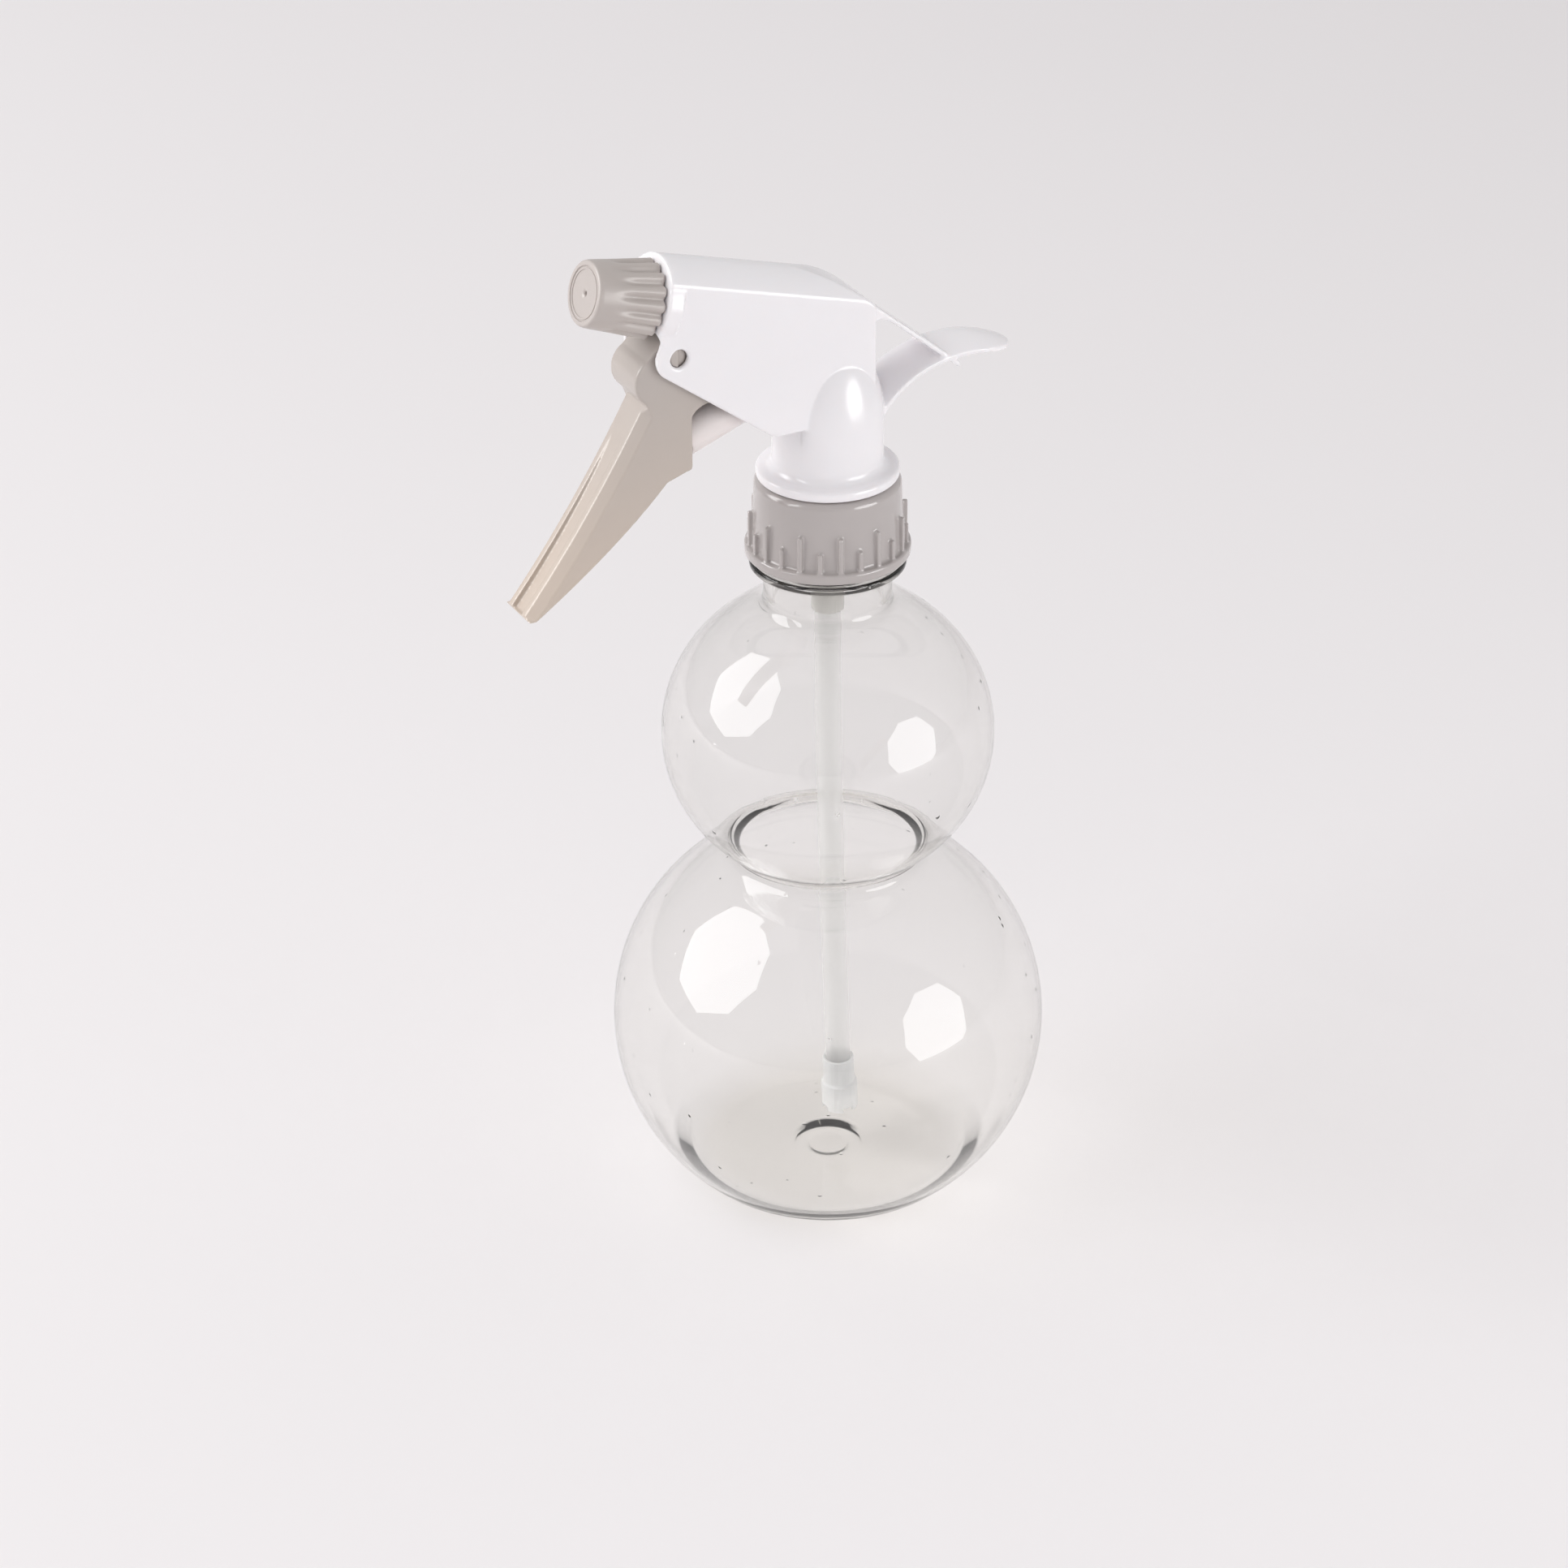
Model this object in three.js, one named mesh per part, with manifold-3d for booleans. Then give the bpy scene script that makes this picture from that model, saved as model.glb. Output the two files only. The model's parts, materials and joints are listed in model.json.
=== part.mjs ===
// Trigger spray bottle: a clear two-globe bottle with a screwed-on trigger sprayer.
// Millimetres, +Z up. The origin is the middle of the base and +X is the way the spray leaves.

import * as THREE from 'three';
import { mergeVertices } from 'three/addons/utils/BufferGeometryUtils.js';
import Module from 'manifold-3d';

const wasm = await Module();
wasm.setup();

// Clearances.
const seatGap = 0.25; // between faces that rest on each other
const slideGap = 0.3; // beside a piece that slides or turns freely
const sealGap = 0.03; // between a seal's lip and the wall that it wipes
const weld = 0.5; // how far joined lengths of one piece run into each other
const cutOver = 1.0; // how far a cutting solid runs past the face that it opens

// Bottle.
const bottleWall = 0.8;
const baseWall = 2.4;
const lowerGlobe = { radius: 46.0, halfHeight: 45.1 };
const upperGlobe = { radius: 34.6, halfHeight: 32.4 };
const baseCut = 9.2; // height missing from the lower globe's foot
const globeOverlap = 8.8; // height that the two globes share at the waist
const waistSharpness = 5.5; // higher makes a tighter waist
const heelRadius = 9.0;
const gateBoss = { radius: 4.2, recessRadius: 7.5, recess: 0.7, slope: 0.5 };
const shoulderShare = 0.86; // of the upper globe's half height, where the neck's blend begins
const neck = { outer: 13.2, bore: 11.2, threadRoot: 12.75, rise: 6.6, finish: 12.9 };
const supportRing = { radius: neck.threadRoot + 3.35, thickness: 1.7, edge: 0.4 };

// The right-hand thread between the bottle's neck and the collar.
const neckThread = { pitch: 4.23, bead: 0.65, turns: 1.5, start: 2.6 };
const collarThread = { bead: 0.55, turns: 1.0 };

// Collar.
const threadGap = 1.0; // from the neck's wall to the collar's, where the two thread beads pass
const collarWall = { top: 1.25, foot: 1.75, shoulder: 1.5 };
const collar = {
  bore: neck.threadRoot + threadGap,
  topRadius: neck.threadRoot + threadGap + collarWall.top,
  footRadius: neck.threadRoot + threadGap + collarWall.foot,
};
const collarLift = 1.2; // from the support ring up to the collar's foot
const collarLip = { thickness: 1.25, bore: 10.6 };
const collarRim = { out: 1.5, height: 2.2 }; // out from the collar's foot
const collarRib = {
  count: 12, out: 0.9, root: 0.75, width: 1.0, longHeight: 7.7, shortHeight: 4.3, phase: 11,
};

// Gasket.
const gasket = { thickness: 1.5, edgeGap: 0.55 }; // the gap is to the collar's bore

// Pump. Its axis starts at the piston's front face and runs up into the shroud.
const pump = { forward: 32.8, height: 15.9, tilt: 20.3 };
const pistonGap = 0.25; // between the piston and the cylinder round it
const piston = { radius: 4.2, wall: 0.85, length: 19.5, face: 1.5, stem: 2.5, stemLength: 3.4 };
const pistonSeal = { length: 2.2, groove: 0.4, lipShare: 0.7 };
const pistonBore = piston.radius - piston.wall;
const cylinder = { bore: piston.radius + pistonGap, wall: 1.15, mouth: 13.5, depth: 14.5, endBlock: 4.0 };
const cylinderRadius = cylinder.bore + cylinder.wall;
const mouthLug = { rise: 1.3, length: 1.8, halfWidth: 1.5 };
const returnSpring = { radius: pistonBore - 0.7, wire: 0.35, turns: 9 };
const port = 1.2;
const web = { thickness: 1.6, front: 22.0, depth: 6.0 };

// Shroud. Its heights are measured from the underside of its flange.
const shroudWall = 1.2;
const flange = { radius: 14.6, height: 1.5, cone: 1.6, edge: 0.5 };
const neckTube = { radius: 11.3, height: 12.6, domeHeight: 18.0 };
const pumpRoom = 0.7; // from the pump cylinder to the shroud's side
const panel = {
  halfWidth: cylinderRadius + pumpRoom + shroudWall,
  back: 7.0, foot: 14.3, footRound: 3.0, slope: 36.9,
};
const roof = { ledge: 5.6, ledgeStep: 0.6, crest: 9.1, bendStart: 12.3, bendDrop: 9.1 };
const bezel = { radius: 8.8, length: 3.4, hang: 5.2, wall: 1.6 };
const ear = { radius: 4.4, forward: 0.5, noseForward: 3.2, noseRise: 3.9, turn: 27 };
const saddle = {
  halfWidth: 6.0, thickness: 1.2, crown: 1.2, length: 41.0, rise: 10.2, tipDrop: 3.6,
  rootDrop: 1.0, kneeBack: 2.0, bend: 6.5, tipStretch: 1.25,
};
const strap = { thickness: 1.2, slope: 40.0, landing: 27.0, sink: 0.4, fillet: 4.2, corner: 0.6, root: 5.2 };

const roomLap = 2.0; // how far the shroud's room reaches into the neck's

// Barrel, which carries the spray to the nozzle. Lengths run along it from above the neck.
const barrelHeight = 34.9;
const barrelTilt = 16.0;
const barrel = { radius: 3.6, bore: 1.6, noseRadius: 4.6, noseBore: 3.4, wide: 26.0, flare: 2.0, back: 3.4 };
const noseDepth = 8.0;
const valveRoom = { radius: 2.5, length: 12.0 };

// Nozzle cap.
const nozzleReach = 55.4; // from above the neck to the cap's front face
const cap = { frontRadius: 6.5, rearRadius: 7.95, length: 14.0, bore: 5.3, frontWall: 2.2, chamfer: 0.5 };
const flute = { count: 15, radius: 1.1, depth: 0.75, start: 3.5 };
const capFace = { rim: 0.55, sink: 0.25, ring: 5.0, ringWidth: 0.25, ringRise: 0.15 };
const orifice = { radius: 0.45, dimple: 1.0, dimpleDepth: 0.3 };
const sleeve = { radius: 2.6, bore: 1.9, length: 6.3 };
const capThread = { pitch: 2.0, bead: 0.45, capBead: 0.4, turns: 2.0, capTurns: 1.5, start: 1.7 };
const noseGap = 1.2; // from the barrel's end to the cap's front wall, screwed home
const noseSeal = { length: 1.0, back: 0.2 };
const swirl = { pin: 1.55, disc: 1.7, slot: 0.8, back: 0.5 };

// Trigger. Places are measured from the pivot, forward and up.
const pivot = { forward: 36.6, height: 35.7 };
const shoulderHalf = panel.halfWidth - shroudWall - slideGap;
const trigger = { halfWidth: shoulderHalf - 0.5, wall: 1.2, frontWall: 1.7 };
const trunnion = { radius: 1.8, clearance: 0.08, endInset: 0.5 };
const lobe = { radius: 5.3, forward: 3.4, drop: 4.7 };
const lug = { radius: 4.2, drop: 6.0, boss: 3.4 };
const blade = { topForward: 6.1, topDrop: 9.9, tipForward: 33.1, tipDrop: 50.3, bow: 1.3, tipWidth: 1.8 };
const heel = { cornerBack: 3.5, cornerDrop: 25.3, rise: 12.6, armBack: 7.4, armDrop: 11.6 };
const bladeBack = { midForward: 12.4, midDrop: 37.8, kneeForward: 2.1, kneeDrop: 26.8 };
const thumbGroove = { halfWidth: 2.1, depth: 0.7 };
const pushBar = { radius: 1.6 };

// Riser and the parts that hang from it into the bottle.
const riser = { radius: 4.2, bore: 1.5, ballBore: 2.6, ballRoom: 5.5 };
const bodyFlange = { edgeGap: 1.15, thickness: 1.6 }; // the gap is to the collar's bore
const plug = { depth: 6.0, wall: 1.2 };
const plugRadius = neck.bore - slideGap;
const trunkRib = { reach: 9.7, thickness: 1.4, height: 11.0 };
const dipTube = { radius: 2.7, bore: 2.0, drift: 2.4, driftTurn: 152 };
const retainer = { nose: 0.7, collar: 1.5, noseLength: 18.0, hole: 1.2, tubeGrip: 21.0 };
const retainerNose = dipTube.radius + retainer.nose;
const socket = { bore: dipTube.radius + retainer.collar, wall: 1.4, depth: 8.6 };
const socketRadius = socket.bore + socket.wall;
const ball = { radius: 2.0, seatRadius: 1.9, seatDepth: 0.6, float: 0.3 };
const vent = { radius: 0.6, place: socketRadius + 1.8 };
const ventSeal = { bore: socketRadius + 0.4, thickness: 0.6, edgeGap: 0.7 }; // the gap is to the plug

// Foot strainer, which grips the dip tube's end.
const footRoom = 9.1; // from the bottle's floor to the strainer
const strainer = {
  sleeve: dipTube.radius + 0.65,
  basket: dipTube.radius + 1.2,
  sleeveLength: 6.2,
  basketLength: 6.4,
  wall: 0.6,
  notch: 1.1,
};
const screen = { thickness: 0.5, hole: 0.45, ring: 1.7, holes: 6 };

// Outlet valve in the barrel.
const valveSeat = { at: 2.5, length: 1.7, hole: 1.2 };
const valve = { radius: 1.9, nose: 0.4, head: 1.1, stem: 0.9, stemLength: 1.4 };
const valveSpring = { radius: 1.75, wire: 0.25, turns: 5 };
const rearPlug = { length: 1.6, head: 0.7, inset: 0.4 };

// Roundness, in sides of a full circle.
const bottleSides = 36;
const fineSides = 32;
const boreSides = 24;
const smallSides = 16;
const wireSides = 6;

const degrees = Math.PI / 180;

// Heights that follow from the sizes above.
const lowerCentre = lowerGlobe.halfHeight - baseCut;
const upperCentre = lowerCentre + lowerGlobe.halfHeight - globeOverlap + upperGlobe.halfHeight;
const ringFoot = upperCentre + upperGlobe.halfHeight + neck.rise;
const ringTop = ringFoot + supportRing.thickness;
const neckTop = ringTop + neck.finish;
const gasketFoot = neckTop + seatGap;
const bodyFoot = gasketFoot + gasket.thickness + seatGap;
const lipFoot = bodyFoot + bodyFlange.thickness + seatGap;
const headFoot = lipFoot + collarLip.thickness + seatGap;
const flangeDrop = headFoot - bodyFoot; // the pump body's flange lies this far below the shroud

// A closed geometry becomes a solid that can be joined and cut.
function solid(geometry) {
  const bare = geometry.clone();
  bare.deleteAttribute('normal');
  bare.deleteAttribute('uv');
  const merged = mergeVertices(bare, 1e-4);
  const index = merged.index.array;
  const triangles = [];
  for (let i = 0; i < index.length; i += 3) {
    const [a, b, c] = [index[i], index[i + 1], index[i + 2]];
    if (a !== b && b !== c && c !== a) triangles.push(a, b, c);
  }
  const vertProperties = new Float32Array(merged.attributes.position.array);
  const mesh = new wasm.Mesh({ numProp: 3, vertProperties, triVerts: new Uint32Array(triangles) });
  return new wasm.Manifold(mesh);
}

function geometryOf(body) {
  const mesh = body.getMesh();
  const geometry = new THREE.BufferGeometry();
  geometry.setAttribute('position', new THREE.BufferAttribute(new Float32Array(mesh.vertProperties), 3));
  geometry.setIndex(new THREE.BufferAttribute(new Uint32Array(mesh.triVerts), 1));
  return geometry;
}

function join(...bodies) {
  return bodies.reduce((sum, body) => sum.add(body));
}

function cut(body, ...tools) {
  return tools.reduce((rest, tool) => rest.subtract(tool), body);
}

// A profile of [radius, height] pairs turned about +Z, up its outside and down its inside.
function turned(profile, sides) {
  const points = profile.map(([radius, height]) => new THREE.Vector2(Math.max(radius, 0), height));
  const closed = points[0].x > 0;
  if (closed) points.push(points[0].clone());
  return new THREE.LatheGeometry(points, sides).rotateX(Math.PI / 2);
}

function rod(radius, low, high, sides) {
  return turned([[0, low], [radius, low], [radius, high], [0, high]], sides);
}

function tube(outer, inner, low, high, sides) {
  return turned([[outer, low], [outer, high], [inner, high], [inner, low]], sides);
}

// A side view in X and Z given its thickness along Y, centred on the middle plane.
function sideCut(shape, halfWidth, curveSegments = 6) {
  const settings = { depth: 2 * halfWidth, bevelEnabled: false, curveSegments };
  return new THREE.ExtrudeGeometry(shape, settings).translate(0, 0, -halfWidth).rotateX(Math.PI / 2);
}

function box(x0, x1, y0, y1, z0, z1) {
  const geometry = new THREE.BoxGeometry(x1 - x0, y1 - y0, z1 - z0);
  return geometry.translate((x0 + x1) / 2, (y0 + y1) / 2, (z0 + z1) / 2);
}

// A right-hand helix about +Z.
class Helix extends THREE.Curve {
  constructor(radius, pitch, turns, start, phase = 0) {
    super();
    Object.assign(this, { radius, pitch, turns, start, phase });
  }

  getPoint(t, target = new THREE.Vector3()) {
    const turn = t * this.turns;
    const angle = 2 * Math.PI * (turn + this.phase);
    return target.set(
      this.radius * Math.cos(angle), this.radius * Math.sin(angle), this.start + this.pitch * turn);
  }
}

function circle(radius, sides) {
  const shape = new THREE.Shape();
  for (let i = 0; i < sides; i += 1) {
    const angle = 2 * Math.PI * i / sides;
    const point = [radius * Math.cos(angle), radius * Math.sin(angle)];
    if (i === 0) shape.moveTo(...point);
    else shape.lineTo(...point);
  }
  return shape;
}

function coil(radius, pitch, turns, start, wire, phase = 0, stepsPerTurn = 16) {
  const extrudePath = new Helix(radius, pitch, turns, start, phase);
  const steps = Math.ceil(turns * stepsPerTurn);
  return new THREE.ExtrudeGeometry(circle(wire, wireSides), { steps, extrudePath, bevelEnabled: false });
}

// Frames that the tilted parts are built in, and the matrices that carry them into the head.
const barrelFrame = new THREE.Matrix4()
  .makeTranslation(0, 0, barrelHeight)
  .multiply(new THREE.Matrix4().makeRotationY((90 - barrelTilt) * degrees));
const pumpFrame = new THREE.Matrix4()
  .makeTranslation(pump.forward, 0, pump.height)
  .multiply(new THREE.Matrix4().makeRotationY((pump.tilt - 90) * degrees));

function inBarrel(geometry) {
  return geometry.applyMatrix4(barrelFrame);
}

function inPump(geometry) {
  return geometry.applyMatrix4(pumpFrame);
}

const plastics = {
  clear: { color: 0xc9cbc8, roughness: 0.05, metalness: 0 },
  white: { color: 0xf2eff3, roughness: 0.3, metalness: 0 },
  warmGrey: { color: 0xb9b0ac, roughness: 0.35, metalness: 0 },
  natural: { color: 0xeee6e4, roughness: 0.4, metalness: 0 },
  milky: { color: 0xe4e5e2, roughness: 0.3, metalness: 0 },
  rubber: { color: 0x4a4a4c, roughness: 0.7, metalness: 0 },
  steel: { color: 0xb8babd, roughness: 0.25, metalness: 1 },
};

function node(name, geometry, finish) {
  const mesh = new THREE.Mesh(geometry, new THREE.MeshStandardMaterial(plastics[finish]));
  mesh.name = name;
  return mesh;
}

// Bottle.

function globeRadius(globe, centre, height, inset) {
  const reach = (height - centre) / (globe.halfHeight - inset);
  return Math.abs(reach) < 1 ? (globe.radius - inset) * Math.sqrt(1 - reach * reach) : 0;
}

function blended(...radii) {
  const sum = radii.reduce((total, radius) => total + Math.pow(radius, waistSharpness), 0);
  return Math.pow(sum, 1 / waistSharpness);
}

function bottleRadius(height, inset, neckRadius) {
  const upper = globeRadius(upperGlobe, upperCentre, height, inset);
  const lower = globeRadius(lowerGlobe, lowerCentre, height, inset);
  return blended(upper, height > upperCentre ? neckRadius : lower);
}

function bottle() {
  const meanRadius = (lowerGlobe.radius + lowerGlobe.halfHeight) / 2;
  const heelReach = meanRadius - heelRadius;
  const heelCentre = Math.sqrt(heelReach ** 2 - (lowerCentre - heelRadius) ** 2);
  const heelTurn = Math.atan2(heelCentre, lowerCentre - heelRadius);

  function wall(inset, floor, neckRadius, top, heelSteps, steps) {
    const points = [];
    const round = heelRadius - inset;
    for (let i = 0; i <= heelSteps; i += 1) {
      const turn = heelTurn * i / heelSteps;
      const height = floor + round * (1 - Math.cos(turn));
      points.push([heelCentre + round * Math.sin(turn), height]);
    }
    const start = points[points.length - 1][1];
    const from = Math.acos((lowerCentre - start) / lowerGlobe.halfHeight);
    const waist = lowerCentre + lowerGlobe.halfHeight - globeOverlap / 2;
    const toWaist = Math.acos((lowerCentre - waist) / lowerGlobe.halfHeight);
    const fromWaist = Math.acos((upperCentre - waist) / upperGlobe.halfHeight);
    const shoulder = upperCentre + upperGlobe.halfHeight * shoulderShare;
    const toShoulder = Math.acos((upperCentre - shoulder) / upperGlobe.halfHeight);
    for (let i = 1; i <= steps; i += 1) {
      const angle = from + (toWaist - from) * i / steps;
      const height = lowerCentre - lowerGlobe.halfHeight * Math.cos(angle);
      points.push([bottleRadius(height, inset, neckRadius), height]);
    }
    for (let i = 1; i <= steps; i += 1) {
      const angle = fromWaist + (toShoulder - fromWaist) * i / steps;
      const height = upperCentre - upperGlobe.halfHeight * Math.cos(angle);
      points.push([bottleRadius(height, inset, neckRadius), height]);
    }
    const neckSteps = 4;
    for (let i = 1; i <= neckSteps; i += 1) {
      const height = shoulder + (top - shoulder) * i / neckSteps;
      points.push([bottleRadius(height, inset, neckRadius), height]);
    }
    return points;
  }

  const foot = gateBoss.recessRadius - gateBoss.slope;
  const recess = gateBoss.recess;
  const outside = [
    [0, 0], [gateBoss.radius, 0], [gateBoss.radius + gateBoss.slope, recess], [foot, recess],
    [gateBoss.recessRadius, 0],
    ...wall(0, 0, neck.outer, ringFoot, 3, 8),
    [supportRing.radius - supportRing.edge, ringFoot],
    [supportRing.radius, ringFoot + supportRing.edge],
    [supportRing.radius, ringTop - supportRing.edge],
    [supportRing.radius - supportRing.edge, ringTop],
    [neck.threadRoot, ringTop], [neck.threadRoot, neckTop - supportRing.edge],
    [neck.threadRoot - supportRing.edge, neckTop],
  ];
  const inside = [
    [0, baseWall], [gateBoss.radius - gateBoss.slope, baseWall],
    [gateBoss.radius, baseWall + recess], [gateBoss.recessRadius, baseWall + recess],
    [gateBoss.recessRadius + gateBoss.slope, baseWall],
    ...wall(bottleWall, baseWall, neck.bore, ringFoot, 3, 8),
    [neck.bore, neckTop],
  ];
  const shell = turned([...outside, ...inside.reverse()], bottleSides);
  const thread = coil(neck.threadRoot, neckThread.pitch, neckThread.turns, ringTop + neckThread.start,
    neckThread.bead);
  return node('bottle', geometryOf(join(solid(shell), solid(thread))), 'clear');
}

// Collar. Its thread lies half a pitch above the neck's.

function screwCollar() {
  const foot = ringTop + collarLift;
  const top = lipFoot + collarLip.thickness;
  const rimTop = foot + collarRim.height;
  const rimRadius = collar.footRadius + collarRim.out;
  const shoulderSteps = 4;
  const shoulder = [];
  for (let i = 0; i <= shoulderSteps; i += 1) {
    const angle = Math.PI / 2 * i / shoulderSteps;
    shoulder.push([
      collar.topRadius - collarWall.shoulder * (1 - Math.cos(angle)),
      top - collarWall.shoulder * (1 - Math.sin(angle))]);
  }
  const edge = supportRing.edge;
  const profile = [
    [collar.bore, foot], [rimRadius - edge, foot], [rimRadius, foot + edge],
    [rimRadius, rimTop - edge], [rimRadius - edge, rimTop], [collar.footRadius, rimTop],
    ...shoulder, [collarLip.bore, top], [collarLip.bore, lipFoot], [collar.bore, lipFoot],
  ];
  let body = solid(turned(profile, 2 * boreSides));
  const spacing = 180 / collarRib.count;
  for (let i = 0; i < 2 * collarRib.count; i += 1) {
    const height = i % 2 === 0 ? collarRib.longHeight : collarRib.shortHeight;
    const rib = box(collar.bore + collarRib.root, collar.footRadius + collarRib.out, -collarRib.width / 2,
      collarRib.width / 2, rimTop - edge, rimTop + height);
    body = body.add(solid(rib.rotateZ((collarRib.phase + i * spacing) * degrees)));
  }
  const start = ringTop + neckThread.start + neckThread.pitch / 2;
  const thread = coil(collar.bore, neckThread.pitch, collarThread.turns, start, collarThread.bead);
  return node('collar', geometryOf(body.add(solid(thread))), 'warmGrey');
}

function neckGasket() {
  const inner = neck.bore + slideGap / 3;
  const outer = collar.bore - gasket.edgeGap;
  const ring = tube(outer, inner, gasketFoot, gasketFoot + gasket.thickness, fineSides);
  return node('neck_gasket', ring, 'rubber');
}

// Shroud, in the head's frame.

function barrelPoint(along, up) {
  const tilt = barrelTilt * degrees;
  return [
    along * Math.cos(tilt) - up * Math.sin(tilt),
    barrelHeight + along * Math.sin(tilt) + up * Math.cos(tilt)];
}

const bezelFront = nozzleReach - cap.length - slideGap;
const headReach = nozzleReach + cutOver; // cutting solids of the head's full size run this far

// The side view of the roof's top edge: straight over the barrel, then bending down to the strap.
const crest = {
  bendStart: barrelPoint(roof.bendStart, roof.crest),
};
crest.slope = strap.slope * degrees;
crest.bendEnd = [-panel.back, crest.bendStart[1] - roof.bendDrop];
const tiltSlope = Math.tan(barrelTilt * degrees);
const strapSlope = Math.tan(crest.slope);
const bendX = (crest.bendEnd[1] - strapSlope * crest.bendEnd[0] - crest.bendStart[1]
  + tiltSlope * crest.bendStart[0]) / (tiltSlope - strapSlope);
const bendZ = crest.bendStart[1] + tiltSlope * (bendX - crest.bendStart[0]);

function strapTop(x) {
  return crest.bendEnd[1] + strapSlope * (x - crest.bendEnd[0]);
}

function panelSide(drop) {
  const slope = panel.slope * degrees;
  const centre = [pivot.forward + ear.forward, pivot.height];
  const below = [centre[0] + ear.radius * Math.sin(slope), centre[1] - ear.radius * Math.cos(slope)];
  const footX = below[0] - (below[1] - panel.foot) / Math.tan(slope);
  const round = panel.footRound * Math.tan(slope / 2);
  const shape = new THREE.Shape();
  shape.moveTo(-panel.back, panel.foot);
  shape.lineTo(footX - round, panel.foot);
  shape.quadraticCurveTo(footX, panel.foot, footX + round * Math.cos(slope),
    panel.foot + round * Math.sin(slope));
  shape.lineTo(below[0], below[1]);
  shape.absarc(centre[0], centre[1], ear.radius, slope - Math.PI / 2, ear.turn * degrees, false);
  shape.lineTo(centre[0] + ear.noseForward, centre[1] + ear.noseRise);
  shape.lineTo(...barrelPoint(bezelFront, -bezel.hang));
  shape.lineTo(...barrelPoint(bezelFront, roof.crest - drop));
  shape.lineTo(crest.bendStart[0], crest.bendStart[1] - drop);
  shape.quadraticCurveTo(bendX, bendZ - drop, crest.bendEnd[0], crest.bendEnd[1] - drop);
  return shape;
}

// The roof's end view, square to the barrel. Local X runs down and local Y runs across.
function roofEnd(inset) {
  const half = panel.halfWidth - inset;
  const ledge = roof.ledge - inset / 2;
  const top = roof.crest - inset;
  const rise = top - ledge - roof.ledgeStep;
  const chord = half - roof.ledgeStep;
  const radius = (chord * chord + rise * rise) / (2 * rise);
  const sweep = Math.asin(Math.min(1, chord / radius));
  const shape = new THREE.Shape();
  shape.moveTo(headReach, -half);
  shape.lineTo(headReach, half);
  shape.lineTo(-ledge, half);
  const steps = 8;
  for (let i = 0; i <= steps; i += 1) {
    const angle = sweep * (1 - 2 * i / steps);
    shape.lineTo(-(top - radius + radius * Math.cos(angle)), radius * Math.sin(angle));
  }
  shape.lineTo(-ledge, -half);
  return shape;
}

function roofPrism(inset) {
  const prism = new THREE.ExtrudeGeometry(roofEnd(inset), { depth: 2 * headReach, bevelEnabled: false });
  return inBarrel(prism.translate(0, 0, -headReach));
}

// The tail is a crowned strip swept from the neck up to its knee and down to its tip.
function saddlePlate() {
  const root = [neckTube.radius - 2 * shroudWall, neckTube.height - saddle.rootDrop];
  const knee = [strap.landing + saddle.kneeBack, root[1] + saddle.rise];
  const path = new THREE.CurvePath();
  const place = (back, height) => new THREE.Vector3(-back, 0, height);
  path.add(new THREE.QuadraticBezierCurve3(
    place(...root), place(root[0] + saddle.bend, knee[1]), place(...knee)));
  path.add(new THREE.QuadraticBezierCurve3(
    place(...knee), place(knee[0] + saddle.bend, knee[1]), place(saddle.length, knee[1] - saddle.tipDrop)));
  const steps = 8;
  const section = new THREE.Shape();
  const crownAt = (share) => saddle.crown * (1 - share * share);
  for (let i = 0; i <= steps; i += 1) {
    const share = 1 - 2 * i / steps;
    const point = [saddle.halfWidth * share, crownAt(share)];
    if (i === 0) section.moveTo(...point);
    else section.lineTo(...point);
  }
  for (let i = steps; i >= 0; i -= 1) {
    const share = 1 - 2 * i / steps;
    section.lineTo(saddle.halfWidth * share, crownAt(share) - saddle.thickness);
  }
  const strip = new THREE.ExtrudeGeometry(section, { steps: 16, extrudePath: path, bevelEnabled: false });
  // Seen from above, the tail ends in a half round.
  const plan = new THREE.Shape();
  const tipLength = saddle.halfWidth * saddle.tipStretch;
  const centre = tipLength - saddle.length;
  plan.moveTo(0, -saddle.halfWidth - cutOver);
  plan.lineTo(0, saddle.halfWidth + cutOver);
  plan.lineTo(centre, saddle.halfWidth + cutOver);
  plan.absellipse(centre, 0, tipLength, saddle.halfWidth, Math.PI / 2, 1.5 * Math.PI, false);
  plan.lineTo(centre, -saddle.halfWidth - cutOver);
  const height = knee[1] + 2 * saddle.rise;
  const outline = new THREE.ExtrudeGeometry(plan, { depth: height, bevelEnabled: false, curveSegments: 12 });
  return solid(strip).intersect(solid(outline));
}

function strapPlate() {
  const top = strapTop(-strap.landing);
  const drop = strap.thickness / Math.cos(crest.slope);
  const inside = -panel.back + shroudWall;
  const shape = new THREE.Shape();
  shape.moveTo(inside, strapTop(inside) - strap.sink);
  shape.lineTo(-strap.landing, top);
  shape.lineTo(-strap.landing, top - drop);
  const filletEnd = -panel.back - strap.fillet;
  const root = strapTop(-panel.back) - strap.root;
  shape.lineTo(filletEnd, strapTop(filletEnd) - drop);
  shape.quadraticCurveTo(-panel.back - strap.corner, strapTop(-panel.back) - drop - strap.corner,
    -panel.back, root);
  shape.lineTo(inside, root);
  return solid(sideCut(shape, saddle.halfWidth, 5));
}

function neckOutside(inset, low) {
  const radius = neckTube.radius - inset;
  const height = neckTube.domeHeight - inset;
  const profile = [[0, low], [radius, low]];
  const steps = 7;
  for (let i = 0; i <= steps; i += 1) {
    const angle = Math.PI / 2 * i / steps;
    profile.push([radius * Math.cos(angle), neckTube.height + height * Math.sin(angle)]);
  }
  profile[profile.length - 1][0] = 0;
  return solid(turned(profile, fineSides));
}

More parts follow.
